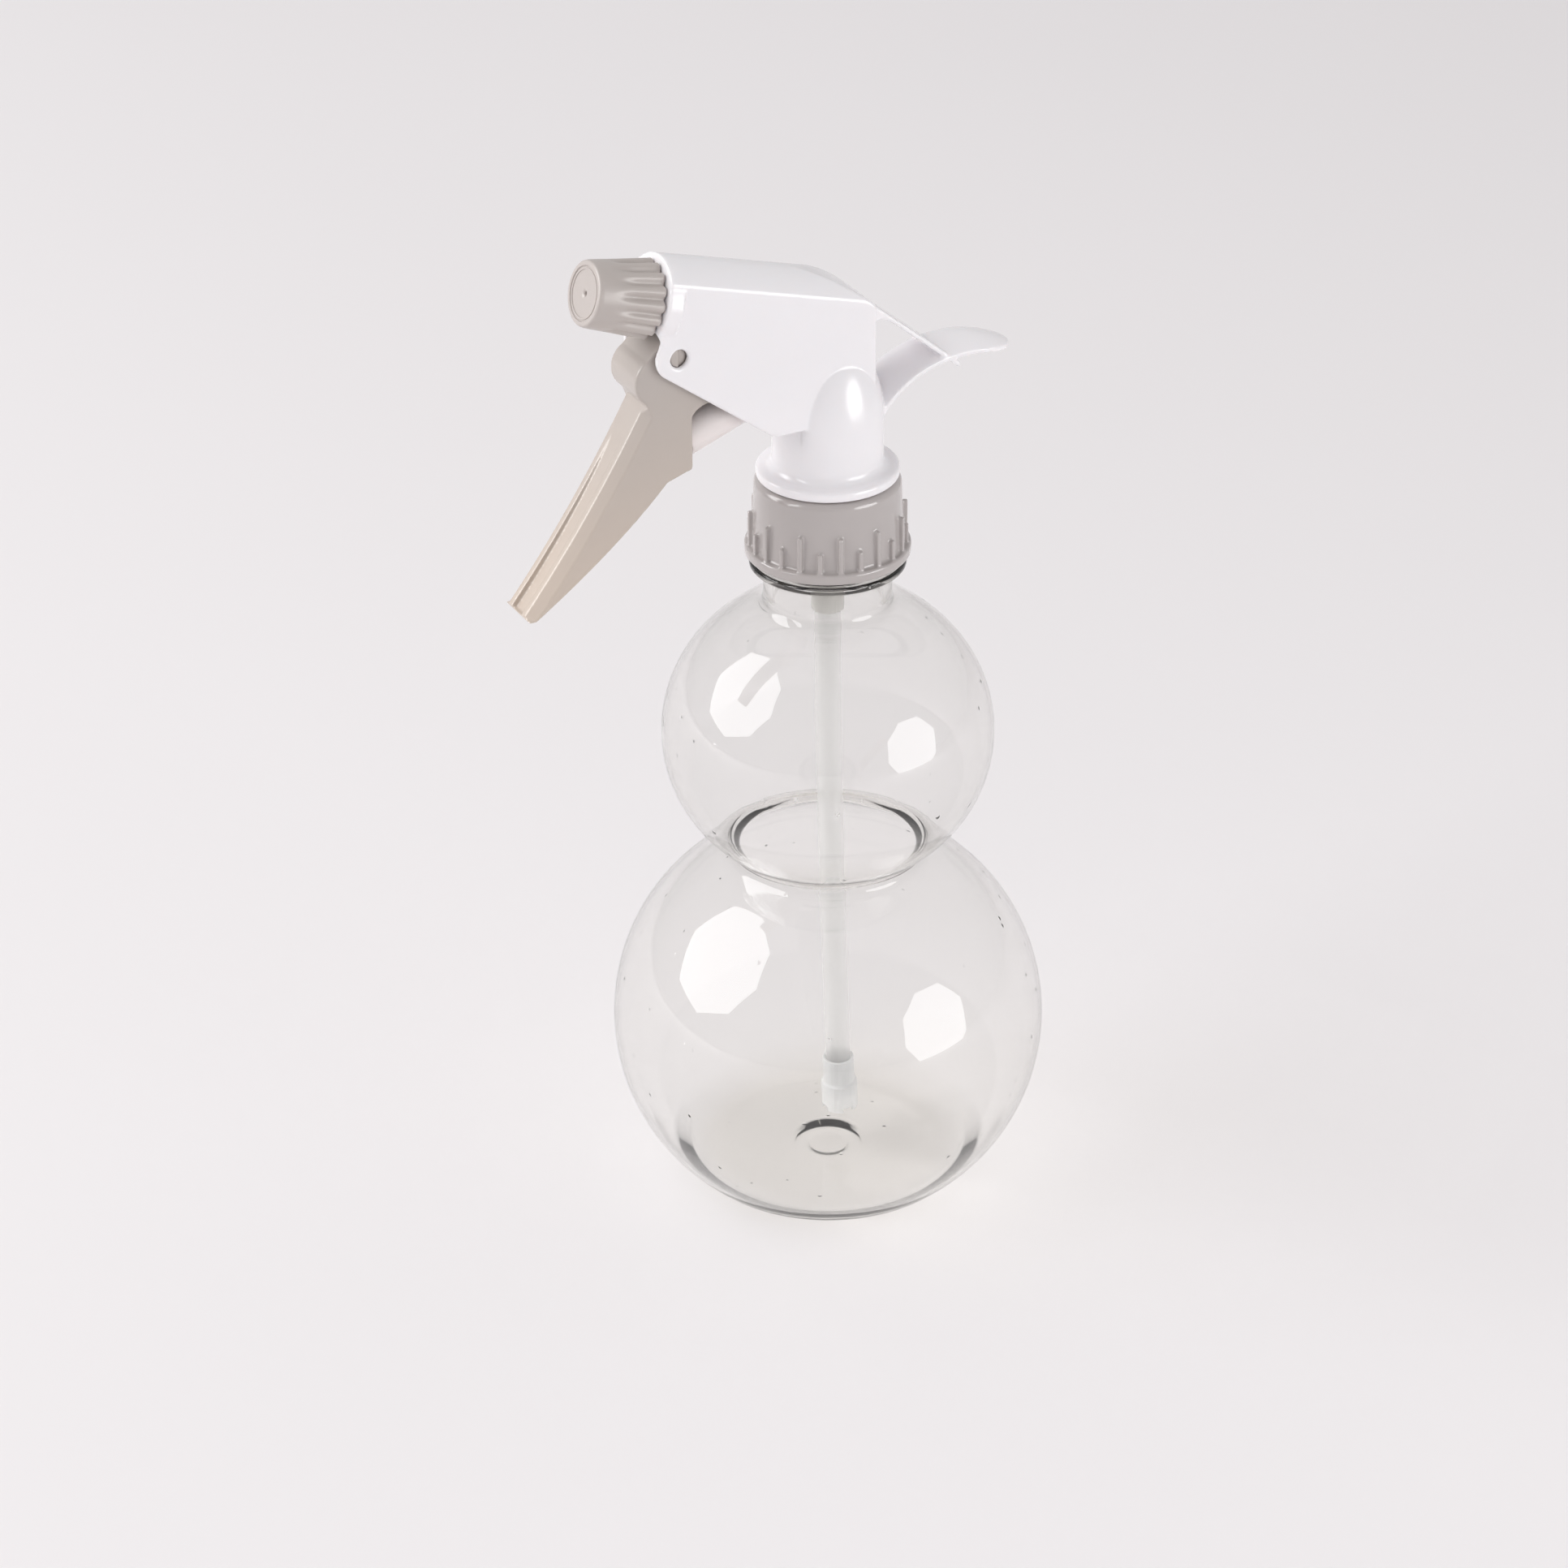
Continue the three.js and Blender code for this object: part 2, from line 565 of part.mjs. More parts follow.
function neckFlange() {
  return solid(turned([
    [neckTube.radius - shroudWall, 0], [flange.radius - flange.edge, 0], [flange.radius, flange.edge],
    [flange.radius, flange.height - flange.edge / 2],
    [flange.radius - flange.edge, flange.height + flange.edge / 2],
    [neckTube.radius + flange.edge, flange.height + 0.75 * flange.cone],
    [neckTube.radius - flange.edge, flange.height + 2 * flange.cone],
    [neckTube.radius - shroudWall, flange.height + 2 * flange.cone],
  ], fineSides));
}

function shroud() {
  const panels = solid(sideCut(panelSide(0), panel.halfWidth)).intersect(solid(roofPrism(0)));
  const ring = solid(inBarrel(rod(bezel.radius, bezelFront - bezel.length, bezelFront, fineSides)));
  const belowBezel = solid(inBarrel(
    box(bezel.hang, 2 * bezel.radius, -2 * bezel.radius, 2 * bezel.radius, 0, bezelFront + cutOver)));
  const outside = join(panels, cut(ring, belowBezel), neckOutside(0, flange.height), neckFlange(),
    strapPlate(), saddlePlate());

  // The inside follows the outside a wall's thickness in, and is open below and to the front.
  const hollow = new THREE.Shape();
  const back = -panel.back + shroudWall;
  const floor = neckTube.height - roomLap;
  hollow.moveTo(back, floor);
  hollow.lineTo(neckTube.radius - roomLap, floor);
  hollow.lineTo(neckTube.radius - roomLap, panel.foot + shroudWall);
  hollow.lineTo(neckTube.radius + roomLap / 2, panel.foot + shroudWall);
  hollow.lineTo(neckTube.radius + roomLap, panel.foot - panel.footRound);
  hollow.lineTo(headReach, panel.foot - panel.footRound);
  hollow.lineTo(headReach, pivot.height - ear.radius);
  hollow.lineTo(...barrelPoint(bezelFront + bezel.radius, -bezel.hang));
  hollow.lineTo(...barrelPoint(bezelFront - bezel.wall, -bezel.hang));
  hollow.lineTo(...barrelPoint(bezelFront - bezel.wall, roof.crest - shroudWall));
  hollow.lineTo(crest.bendStart[0], crest.bendStart[1] - shroudWall);
  hollow.quadraticCurveTo(bendX, bendZ - shroudWall - 0.2, back,
    strapTop(back) - 1.5 * shroudWall);
  const room = solid(sideCut(hollow, panel.halfWidth - shroudWall)).intersect(solid(roofPrism(shroudWall)));
  const noseHole = solid(inBarrel(
    rod(barrel.noseRadius + slideGap, bezelFront - 2 * bezel.wall, bezelFront + cutOver, boreSides)));
  const pivotHole = new THREE.CylinderGeometry(trunnion.radius + trunnion.clearance,
    trunnion.radius + trunnion.clearance, 4 * panel.halfWidth, boreSides)
    .translate(pivot.forward, 0, pivot.height);
  const body = cut(outside, room, neckOutside(shroudWall, -cutOver), noseHole, solid(pivotHole));
  return node('shroud', geometryOf(body), 'white');
}

// Pump body: flange and plug for the bottle's mouth, riser, pump cylinder and barrel in one piece.

const noseEnd = nozzleReach - cap.frontWall - noseGap;
const noseFloor = noseEnd - noseDepth;
const cylinderEnd = cylinder.mouth + cylinder.depth;

function pumpBody() {
  const flangeTop = -flangeDrop + bodyFlange.thickness;
  const parts = [
    rod(collar.bore - bodyFlange.edgeGap, -flangeDrop, flangeTop, fineSides),
    tube(plugRadius, plugRadius - plug.wall, -flangeDrop - plug.depth, -flangeDrop + weld, fineSides),
    rod(socketRadius, -flangeDrop - socket.depth, -flangeDrop + weld, boreSides),
    rod(riser.radius, flangeTop - weld, barrelHeight, boreSides),
    inPump(rod(cylinderRadius, cylinder.mouth, cylinderEnd + cylinder.endBlock, boreSides)),
    inPump(box(cylinderRadius - weld, cylinderRadius + mouthLug.rise, -mouthLug.halfWidth,
      mouthLug.halfWidth, cylinder.mouth, cylinder.mouth + mouthLug.length)),
    inBarrel(turned([
      [0, -barrel.back], [barrel.radius, -barrel.back], [barrel.radius, barrel.wide],
      [barrel.noseRadius, barrel.wide + barrel.flare], [barrel.noseRadius, noseEnd], [0, noseEnd]],
      boreSides)),
    inBarrel(coil(barrel.noseRadius, capThread.pitch, capThread.turns,
      noseFloor + capThread.start, capThread.bead)),
  ];
  const ribHalf = trunkRib.thickness / 2;
  for (const turn of [0, 90]) {
    parts.push(box(-trunkRib.reach, trunkRib.reach, -ribHalf, ribHalf, flangeTop - weld, trunkRib.height)
      .rotateZ(turn * degrees));
  }
  const spine = new THREE.Shape();
  spine.moveTo(0, barrelHeight - web.depth);
  spine.lineTo(web.front, barrelHeight - web.depth);
  spine.lineTo(...barrelPoint(web.front, 0));
  spine.lineTo(0, barrelHeight);
  parts.push(sideCut(spine, web.thickness / 2));
  const body = join(...parts.map(solid));

  const ballTop = -flangeDrop + riser.ballRoom;
  const tools = [
    inPump(rod(cylinder.bore, cylinder.mouth - cutOver, cylinderEnd, boreSides)),
    inPump(rod(port, cylinderEnd - cutOver, pump.forward / Math.cos(pump.tilt * degrees), smallSides)),
    rod(riser.bore, 0, barrelHeight, smallSides),
    rod(riser.ballBore, -flangeDrop - 2 * cutOver, ballTop, boreSides),
    rod(socket.bore, -flangeDrop - socket.depth - cutOver, -flangeDrop, boreSides),
    rod(vent.radius, -2 * flangeDrop, 0, smallSides).translate(0, vent.place, 0),
    inBarrel(rod(barrel.radius + cutOver, -2 * barrel.back, -barrel.back, boreSides)),
    inBarrel(rod(valveRoom.radius, -barrel.back - cutOver, valveRoom.length, boreSides)),
    inBarrel(rod(barrel.bore, valveRoom.length - cutOver, noseFloor + cutOver, smallSides)),
    inBarrel(rod(barrel.noseBore, noseFloor, noseEnd + cutOver, boreSides)),
  ];
  return node('pump_body', geometryOf(cut(body, ...tools.map(solid))), 'white');
}

// Trigger, built about its pivot. Places are [forward, up] from it.

const bladeTop = [blade.topForward, -blade.topDrop];
const bladeTip = [blade.tipForward, -blade.tipDrop];

function bladeControl(inset) {
  return [(bladeTop[0] + bladeTip[0]) / 2 - blade.bow - inset, (bladeTop[1] + bladeTip[1]) / 2 - blade.bow];
}

function triggerSide() {
  const shape = new THREE.Shape();
  const lobeTurn = 0.95;
  const edge = 0.9;
  shape.moveTo(-heel.armBack, -heel.armDrop);
  shape.lineTo(-heel.cornerBack, -heel.cornerDrop + heel.rise);
  shape.lineTo(-heel.cornerBack, -heel.cornerDrop + edge);
  shape.lineTo(-heel.cornerBack + edge, -heel.cornerDrop);
  shape.lineTo(bladeBack.kneeForward, -bladeBack.kneeDrop);
  shape.quadraticCurveTo(bladeBack.midForward, -bladeBack.midDrop, bladeTip[0] - blade.tipWidth, bladeTip[1]);
  shape.lineTo(bladeTip[0] - edge / 2, bladeTip[1]);
  shape.lineTo(bladeTip[0], bladeTip[1] + edge);
  shape.quadraticCurveTo(...bladeControl(0), ...bladeTop);
  shape.lineTo(lobe.forward + lobe.radius * Math.cos(lobeTurn),
    -lobe.drop - lobe.radius * Math.sin(lobeTurn));
  shape.absarc(lobe.forward, -lobe.drop, lobe.radius, -lobeTurn, Math.PI / 3, false);
  shape.absarc(0, 0, lug.radius, Math.PI / 4, Math.PI, false);
  shape.lineTo(-lug.radius, -lug.drop);
  return shape;
}

function pumpPoint(inward) {
  const tilt = pump.tilt * degrees;
  return [pump.forward - inward * Math.cos(tilt), pump.height + inward * Math.sin(tilt)];
}

function triggerPiece() {
  const inner = trigger.halfWidth - trigger.wall;
  const hollow = new THREE.Shape();
  const wall = trigger.frontWall;
  hollow.moveTo(-20, bladeTop[1]);
  hollow.lineTo(-20, 2 * bladeTip[1]);
  hollow.lineTo(bladeTip[0] - 3 * wall, 2 * bladeTip[1]);
  hollow.lineTo(bladeTip[0] - 3 * wall, bladeTip[1] + 2.4 * wall);
  const bow = bladeControl(wall);
  hollow.quadraticCurveTo(bow[0] - wall / 3, bow[1], bladeTop[0] - 1.2 * wall, bladeTop[1]);
  const groove = new THREE.Shape();
  const grooveTop = [bladeTop[0] + 0.15 * (bladeTip[0] - bladeTop[0]),
    bladeTop[1] + 0.22 * (bladeTip[1] - bladeTop[1])];
  groove.moveTo(grooveTop[0] + 4, grooveTop[1] + 3);
  groove.lineTo(grooveTop[0] - 0.4, grooveTop[1] + 1.2);
  groove.quadraticCurveTo(...bladeControl(0.8 + thumbGroove.depth / 2), bladeTip[0] - 1.1,
    bladeTip[1] + 0.9);
  groove.lineTo(bladeTip[0] + 6, bladeTip[1] + 0.9);
  const bar = pumpPoint(-piston.stemLength - slideGap - pushBar.radius);
  const barPlace = [bar[0] - pivot.forward, 0, bar[1] - pivot.height];
  const pinReach = panel.halfWidth - trunnion.endInset;
  const pin = new THREE.CylinderGeometry(trunnion.radius, trunnion.radius, 2 * pinReach, boreSides);
  const boss = new THREE.CylinderGeometry(lug.boss, lug.boss, 2 * shoulderHalf, boreSides);
  const pressBar = new THREE.CylinderGeometry(pushBar.radius, pushBar.radius, 2 * inner + 0.4, boreSides)
    .translate(...barPlace);
  let body = solid(sideCut(triggerSide(), trigger.halfWidth, 10));
  body = body.subtract(solid(sideCut(hollow, inner, 10)));
  body = join(body, solid(boss), solid(pin), solid(pressBar));
  body = body.subtract(solid(sideCut(groove, thumbGroove.halfWidth, 8)));
  // The back half of each pin's end is cut away, so that it snaps past the shroud's side.
  const low = shoulderHalf + slideGap;
  const deep = 2 * trunnion.radius;
  for (const [near, far] of [[low, pinReach + cutOver], [-pinReach - cutOver, -low]]) {
    body = body.subtract(solid(box(-deep, 0, near, far, -deep, deep)));
  }
  const mesh = node('trigger', geometryOf(body), 'warmGrey');
  mesh.position.set(pivot.forward, 0, pivot.height);
  return mesh;
}

// Piston and its seal and spring, in the pump's frame.

const grooveStart = piston.length - pistonSeal.length - slideGap;
const grooveRadius = piston.radius - pistonSeal.groove;

function pistonPiece() {
  return node('piston', turned([
    [0, -piston.stemLength], [piston.stem, -piston.stemLength], [piston.stem, 0], [piston.radius, 0],
    [piston.radius, grooveStart], [grooveRadius, grooveStart], [grooveRadius, piston.length],
    [pistonBore, piston.length], [pistonBore, piston.face], [0, piston.face]], boreSides), 'natural');
}

function pistonSealPiece() {
  const low = grooveStart + slideGap / 2;
  const lip = cylinder.bore - sealGap;
  const body = cylinder.bore - slideGap / 2;
  return node('piston_seal', turned([
    [body, low], [body, low + pistonSeal.lipShare * pistonSeal.length], [lip, low + pistonSeal.length],
    [grooveRadius + sealGap, low + pistonSeal.length], [grooveRadius + sealGap, low]],
    boreSides), 'natural');
}

function returnSpringPiece() {
  const low = piston.face + slideGap + returnSpring.wire;
  const high = cylinderEnd - slideGap - returnSpring.wire;
  const pitch = (high - low) / returnSpring.turns;
  const wire = coil(returnSpring.radius, pitch, returnSpring.turns, low, returnSpring.wire, 0, 12);
  return node('return_spring', wire, 'steel');
}

// Outlet valve, its seat and spring, and the rear plug, in the barrel's frame.

const headAt = valveSeat.at + valveSeat.length + seatGap;

function outletParts() {
  const fit = valveRoom.radius - sealGap;
  const seat = tube(fit, valveSeat.hole, valveSeat.at, valveSeat.at + valveSeat.length, boreSides);
  const poppet = turned([
    [0, headAt - valve.nose], [valveSeat.hole - slideGap, headAt - valve.nose], [valve.radius, headAt],
    [valve.radius, headAt + valve.head], [valve.stem, headAt + valve.head],
    [valve.stem, headAt + valve.head + valve.stemLength], [0, headAt + valve.head + valve.stemLength]],
    boreSides);
  const low = headAt + valve.head + slideGap + valveSpring.wire;
  const high = valveRoom.length - slideGap - valveSpring.wire;
  const spring = coil(valveSpring.radius, (high - low) / valveSpring.turns, valveSpring.turns, low,
    valveSpring.wire, 0, 12);
  const headBack = -barrel.back - rearPlug.head - seatGap;
  const headRadius = barrel.radius - rearPlug.inset;
  const stop = turned([
    [0, headBack], [headRadius, headBack],
    [headRadius, -barrel.back - seatGap], [fit, -barrel.back - seatGap],
    [fit, -barrel.back + rearPlug.length], [0, -barrel.back + rearPlug.length]], boreSides);
  return [
    node('outlet_valve_seat', seat, 'natural'),
    node('outlet_valve', poppet, 'natural'),
    node('outlet_spring', spring, 'steel'),
    node('barrel_rear_plug', stop, 'white'),
  ];
}

// Swirl core, held in the barrel's nose.

function swirlCore() {
  const low = noseFloor + seatGap;
  const tip = noseEnd - swirl.back;
  const disc = rod(barrel.noseBore - sealGap, low, low + swirl.disc, boreSides);
  const pin = rod(swirl.pin, low, tip, smallSides);
  let body = join(solid(disc), solid(pin));
  const half = swirl.slot / 2;
  for (const turn of [0, 90, 180, 270]) {
    const slot = box(swirl.pin + seatGap, barrel.noseBore + cutOver, -half, half, low - cutOver,
      low + swirl.disc + cutOver);
    body = body.subtract(solid(slot.rotateZ(turn * degrees)));
  }
  for (const turn of [45, 135]) {
    const groove = box(-2 * swirl.pin, 2 * swirl.pin, -half / 2, half / 2, tip - swirl.slot, tip + cutOver);
    body = body.subtract(solid(groove.rotateZ(turn * degrees)));
  }
  return node('swirl_core', geometryOf(body), 'natural');
}

// Nozzle cap. Its heights run back from the front face at zero.

function nozzleCap() {
  const back = -cap.length;
  const front = -cap.frontWall;
  const ringOut = capFace.ring + capFace.ringWidth;
  const profile = [
    [cap.bore, back], [cap.rearRadius - cap.chamfer, back], [cap.rearRadius, back + cap.chamfer],
    [cap.frontRadius, -cap.chamfer], [cap.frontRadius - cap.chamfer, 0],
    [cap.frontRadius - cap.chamfer - capFace.rim, 0],
    [cap.frontRadius - cap.chamfer - capFace.rim, -capFace.sink],
    [ringOut, -capFace.sink], [ringOut, -capFace.sink + capFace.ringRise],
    [capFace.ring, -capFace.sink + capFace.ringRise], [capFace.ring, -capFace.sink],
    [orifice.dimple, -capFace.sink], [orifice.radius, -capFace.sink - orifice.dimpleDepth],
    [orifice.radius, front], [sleeve.bore, front], [sleeve.bore, front - sleeve.length],
    [sleeve.radius, front - sleeve.length], [sleeve.radius, front], [cap.bore, front],
  ];
  let body = solid(turned(profile, fineSides));
  const run = cap.length - flute.start;
  const lean = Math.atan2(flute.depth + (cap.rearRadius - cap.frontRadius) * -run / cap.length, run);
  const startRadius = cap.frontRadius + (cap.rearRadius - cap.frontRadius) * flute.start / cap.length;
  for (let i = 0; i < flute.count; i += 1) {
    const groove = rod(flute.radius, -run - 4, 0, 8).rotateY(lean)
      .translate(startRadius + flute.radius, 0, -flute.start)
      .rotateZ(2 * Math.PI * i / flute.count);
    body = body.subtract(solid(groove));
  }
  const start = noseFloor + capThread.start + capThread.pitch / 2 - nozzleReach;
  const thread = coil(cap.bore, capThread.pitch, capThread.capTurns, start, capThread.capBead);
  return node('nozzle_cap', geometryOf(body.add(solid(thread))), 'warmGrey');
}

function nozzleSeal() {
  const low = -cap.frontWall - sleeve.length + noseSeal.back;
  const inner = sleeve.radius + 2 * sealGap;
  return node('nozzle_seal', tube(barrel.noseBore - sealGap, inner, low, low + noseSeal.length, boreSides),
    'rubber');
}

// Inlet side: the vent seal, tube retainer, ball, dip tube and strainer.

const socketTop = -flangeDrop;
const socketFoot = socketTop - socket.depth;
const noseFoot = socketFoot - retainer.noseLength;
const tubeTop = noseFoot + retainer.tubeGrip;

function ventSealPiece() {
  const top = -flangeDrop - seatGap;
  const reach = plugRadius - plug.wall - ventSeal.edgeGap;
  return node('vent_seal', tube(reach, ventSeal.bore, top - ventSeal.thickness, top, boreSides), 'rubber');
}

function tubeRetainer() {
  const top = socketTop - seatGap;
  const body = socket.bore - slideGap / 2;
  const grip = dipTube.radius + slideGap / 2;
  return node('tube_retainer', turned([
    [grip, noseFoot], [retainerNose, noseFoot], [retainerNose, socketFoot - 0.6], [body, socketFoot],
    [body, top], [ball.seatRadius, top], [retainer.hole, top - ball.seatDepth],
    [retainer.hole, tubeTop + seatGap], [grip, tubeTop + seatGap]], boreSides), 'milky');
}

function inletBall() {
  const rest = Math.sqrt(ball.radius ** 2 - retainer.hole ** 2);
  const centre = socketTop - seatGap - ball.seatDepth + rest + ball.float;
  const mesh = node('inlet_ball', new THREE.SphereGeometry(ball.radius, smallSides, 10), 'steel');
  mesh.position.set(0, 0, centre);
  return mesh;
}

const tubeFoot = baseWall + footRoom + strainer.basketLength - headFoot;

// The tube hangs straight in its retainer and then drifts a little to one side.
function dipTubePath() {
  const turn = dipTube.driftTurn * degrees;
  const foot = new THREE.Vector3(dipTube.drift * Math.cos(turn), dipTube.drift * Math.sin(turn), tubeFoot);
  const fall = tubeTop - tubeFoot;
  const hang = new THREE.Vector3(0, 0, noseFoot);
  const middle = new THREE.Vector3(0, 0, noseFoot - fall / 3);
  const path = new THREE.CurvePath();
  path.add(new THREE.LineCurve3(new THREE.Vector3(0, 0, tubeTop), hang));
  path.add(new THREE.QuadraticBezierCurve3(hang, middle, foot));
  return path;
}

function dipTubePiece() {
  const section = circle(dipTube.radius, smallSides);
  section.holes.push(circle(dipTube.bore, smallSides));
  const settings = { steps: 14, extrudePath: dipTubePath(), bevelEnabled: false };
  return node('dip_tube', new THREE.ExtrudeGeometry(section, settings), 'milky');
}

function strainerParts() {
  const grip = dipTube.radius + slideGap / 2;
  const floor = -strainer.basketLength;
  const inside = strainer.basket - strainer.wall;
  let basket = solid(turned([
    [inside, floor], [strainer.basket, floor], [strainer.basket, 0],
    [strainer.sleeve, slideGap], [strainer.sleeve, strainer.sleeveLength], [grip, strainer.sleeveLength],
    [grip, -seatGap], [retainer.hole, -seatGap], [retainer.hole, -2 * strainer.wall],
    [inside, -2 * strainer.wall]], boreSides));
  for (const turn of [0, 90]) {
    const notch = box(-5, 5, -strainer.notch, strainer.notch, floor - cutOver, floor + strainer.notch);
    basket = basket.subtract(solid(notch.rotateZ(turn * degrees)));
  }
  let mesh = solid(rod(inside - slideGap / 2, -strainer.basketLength / 2,
    -strainer.basketLength / 2 + screen.thickness, boreSides));
  for (let i = 0; i < screen.holes; i += 1) {
    const hole = rod(screen.hole, floor, 0, 8).translate(screen.ring, 0, 0);
    mesh = mesh.subtract(solid(hole.rotateZ(2 * Math.PI * i / screen.holes)));
  }
  const group = new THREE.Group();
  const path = dipTubePath();
  const end = path.getPointAt(1);
  group.position.copy(end);
  group.quaternion.setFromUnitVectors(new THREE.Vector3(0, 0, 1), path.getTangentAt(1).negate());
  group.add(node('foot_strainer', geometryOf(basket), 'milky'));
  group.add(node('strainer_screen', geometryOf(mesh), 'milky'));
  return group;
}

function build() {
  const bottleAndHead = new THREE.Group();
  bottleAndHead.add(bottle(), screwCollar(), neckGasket());

  const head = new THREE.Group();
  head.position.set(0, 0, headFoot);
  head.add(shroud(), pumpBody(), triggerPiece(), ventSealPiece(), tubeRetainer(), inletBall());
  head.add(dipTubePiece(), strainerParts());

  const pumpGroup = new THREE.Group();
  pumpGroup.position.set(pump.forward, 0, pump.height);
  pumpGroup.rotation.y = (pump.tilt - 90) * degrees;
  pumpGroup.add(pistonPiece(), pistonSealPiece(), returnSpringPiece());

  const barrelGroup = new THREE.Group();
  barrelGroup.position.set(0, 0, barrelHeight);
  barrelGroup.rotation.y = (90 - barrelTilt) * degrees;
  barrelGroup.add(...outletParts(), swirlCore());

  const nozzle = new THREE.Group();
  nozzle.position.set(0, 0, nozzleReach);
  nozzle.add(nozzleCap(), nozzleSeal());
  barrelGroup.add(nozzle);

  head.add(pumpGroup, barrelGroup);
  bottleAndHead.add(head);
  return bottleAndHead;
}

export default build();
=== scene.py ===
# Trigger spray bottle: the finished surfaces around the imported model.
# Sizes in the settings are millimetres; every finished piece is turned into metres.
import bpy
import bmesh
import json
import math
from mathutils import Matrix, Vector


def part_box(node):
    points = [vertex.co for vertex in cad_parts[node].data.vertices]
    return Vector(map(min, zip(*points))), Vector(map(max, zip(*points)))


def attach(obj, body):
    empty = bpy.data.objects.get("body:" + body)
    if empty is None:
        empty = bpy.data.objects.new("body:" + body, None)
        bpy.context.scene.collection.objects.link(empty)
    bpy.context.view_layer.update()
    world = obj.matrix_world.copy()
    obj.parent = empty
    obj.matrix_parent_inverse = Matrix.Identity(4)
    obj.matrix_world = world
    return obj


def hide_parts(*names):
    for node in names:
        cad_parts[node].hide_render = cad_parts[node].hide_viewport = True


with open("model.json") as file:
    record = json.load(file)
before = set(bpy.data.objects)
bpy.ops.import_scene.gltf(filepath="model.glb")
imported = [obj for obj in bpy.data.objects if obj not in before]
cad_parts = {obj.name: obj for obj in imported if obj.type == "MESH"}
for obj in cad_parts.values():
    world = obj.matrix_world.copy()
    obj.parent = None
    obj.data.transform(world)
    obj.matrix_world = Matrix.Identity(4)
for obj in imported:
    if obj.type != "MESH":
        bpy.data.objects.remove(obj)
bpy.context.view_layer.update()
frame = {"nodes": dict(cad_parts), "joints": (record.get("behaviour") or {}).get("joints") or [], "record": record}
print("frame loaded:", len(frame["nodes"]), "nodes")

metre = 0.001
fullTurn = 2 * math.pi
up = Vector((0, 0, 1))


def jointNamed(name):
    return next(joint for joint in frame["joints"] if joint["name"] == name)


def lowOf(node):
    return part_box(node)[0] / metre


def highOf(node):
    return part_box(node)[1] / metre


# Places that everything on the head is measured from.
headFoot = lowOf("shroud").z
pivot = Vector(jointNamed("trigger_pull")["pos_m"]) / metre
sprayAxis = Vector(jointNamed("nozzle_turn")["axis"])
capFace = Vector(jointNamed("nozzle_turn")["pos_m"]) / metre
pumpAxis = Vector(jointNamed("piston_stroke")["axis"])
barrelTilt = math.asin(sprayAxis.z)
barrelStart = capFace - sprayAxis * (capFace.x / sprayAxis.x)  # where the barrel's axis crosses the bottle's


def turnedTo(axis, start):
    # carries +Z onto the axis, keeping local Y across the object
    across = Vector((0, 1, 0))
    down = across.cross(axis)
    turn = Matrix((down, across, axis)).transposed().to_4x4()
    return Matrix.Translation(start) @ turn


# Shape helpers, all in millimetres.

def arc(centre, radius, start, end, steps):
    turns = [start + (end - start) * i / steps for i in range(steps + 1)]
    return [(centre[0] + radius * math.cos(t), centre[1] + radius * math.sin(t)) for t in turns]


def curve(start, control, end, steps):
    points = []
    for i in range(steps + 1):
        t = i / steps
        a, b, c = (1 - t) ** 2, 2 * t * (1 - t), t ** 2
        points.append(tuple(a * start[k] + b * control[k] + c * end[k] for k in (0, 1)))
    return points


def newObject(name, mesh):
    piece = bpy.data.objects.new(name, mesh)
    bpy.context.scene.collection.objects.link(piece)
    return piece


def objectFrom(bm, name="blank"):
    bmesh.ops.recalc_face_normals(bm, faces=bm.faces)
    mesh = bpy.data.meshes.new(name)
    bm.to_mesh(mesh)
    bm.free()
    return newObject(name, mesh)


def turned(profile, sides=128, place=None):
    # a closed outline of (radius, height) spun about Z
    bm = bmesh.new()
    verts = [bm.verts.new((radius, 0, height)) for radius, height in profile]
    edges = [bm.edges.new(pair) for pair in zip(verts, verts[1:])]
    if profile[0][0] > 0:
        edges.append(bm.edges.new((verts[-1], verts[0])))
    bmesh.ops.spin(bm, geom=verts + edges, cent=(0, 0, 0), axis=up, dvec=(0, 0, 0), angle=fullTurn,
                   steps=sides, use_merge=True)
    bmesh.ops.remove_doubles(bm, verts=bm.verts, dist=1e-4)
    if place:
        bm.transform(place)
    return objectFrom(bm)


def rod(radius, low, high, sides=96, place=None):
    return turned([(0, low), (radius, low), (radius, high), (0, high)], sides, place)


def slab(outline, low, high, plane="side"):
    # a flat outline given its thickness: side lies in XZ, plan in XY
    bm = bmesh.new()
    if plane == "side":
        verts = [bm.verts.new((x, low, z)) for x, z in outline]
        along = Vector((0, high - low, 0))
    else:
        verts = [bm.verts.new((x, y, low)) for x, y in outline]
        along = Vector((0, 0, high - low))
    face = bm.faces.new(verts)
    grown = bmesh.ops.extrude_face_region(bm, geom=[face])
    moved = [item for item in grown["geom"] if isinstance(item, bmesh.types.BMVert)]
    bmesh.ops.translate(bm, verts=moved, vec=along)
    return bm


def block(x0, x1, y0, y1, z0, z1, place=None):
    bm = bmesh.new()
    bmesh.ops.create_cube(bm, size=1)
    bmesh.ops.scale(bm, verts=bm.verts, vec=(x1 - x0, y1 - y0, z1 - z0))
    bmesh.ops.translate(bm, verts=bm.verts, vec=((x0 + x1) / 2, (y0 + y1) / 2, (z0 + z1) / 2))
    if place:
        bm.transform(place)
    return objectFrom(bm)


def settle(piece):
    # takes what the modifiers make as the piece's own mesh
    bpy.context.view_layer.update()
    graph = bpy.context.evaluated_depsgraph_get()
    mesh = bpy.data.meshes.new_from_object(piece.evaluated_get(graph))
    piece.modifiers.clear()
    piece.data = mesh
    return piece


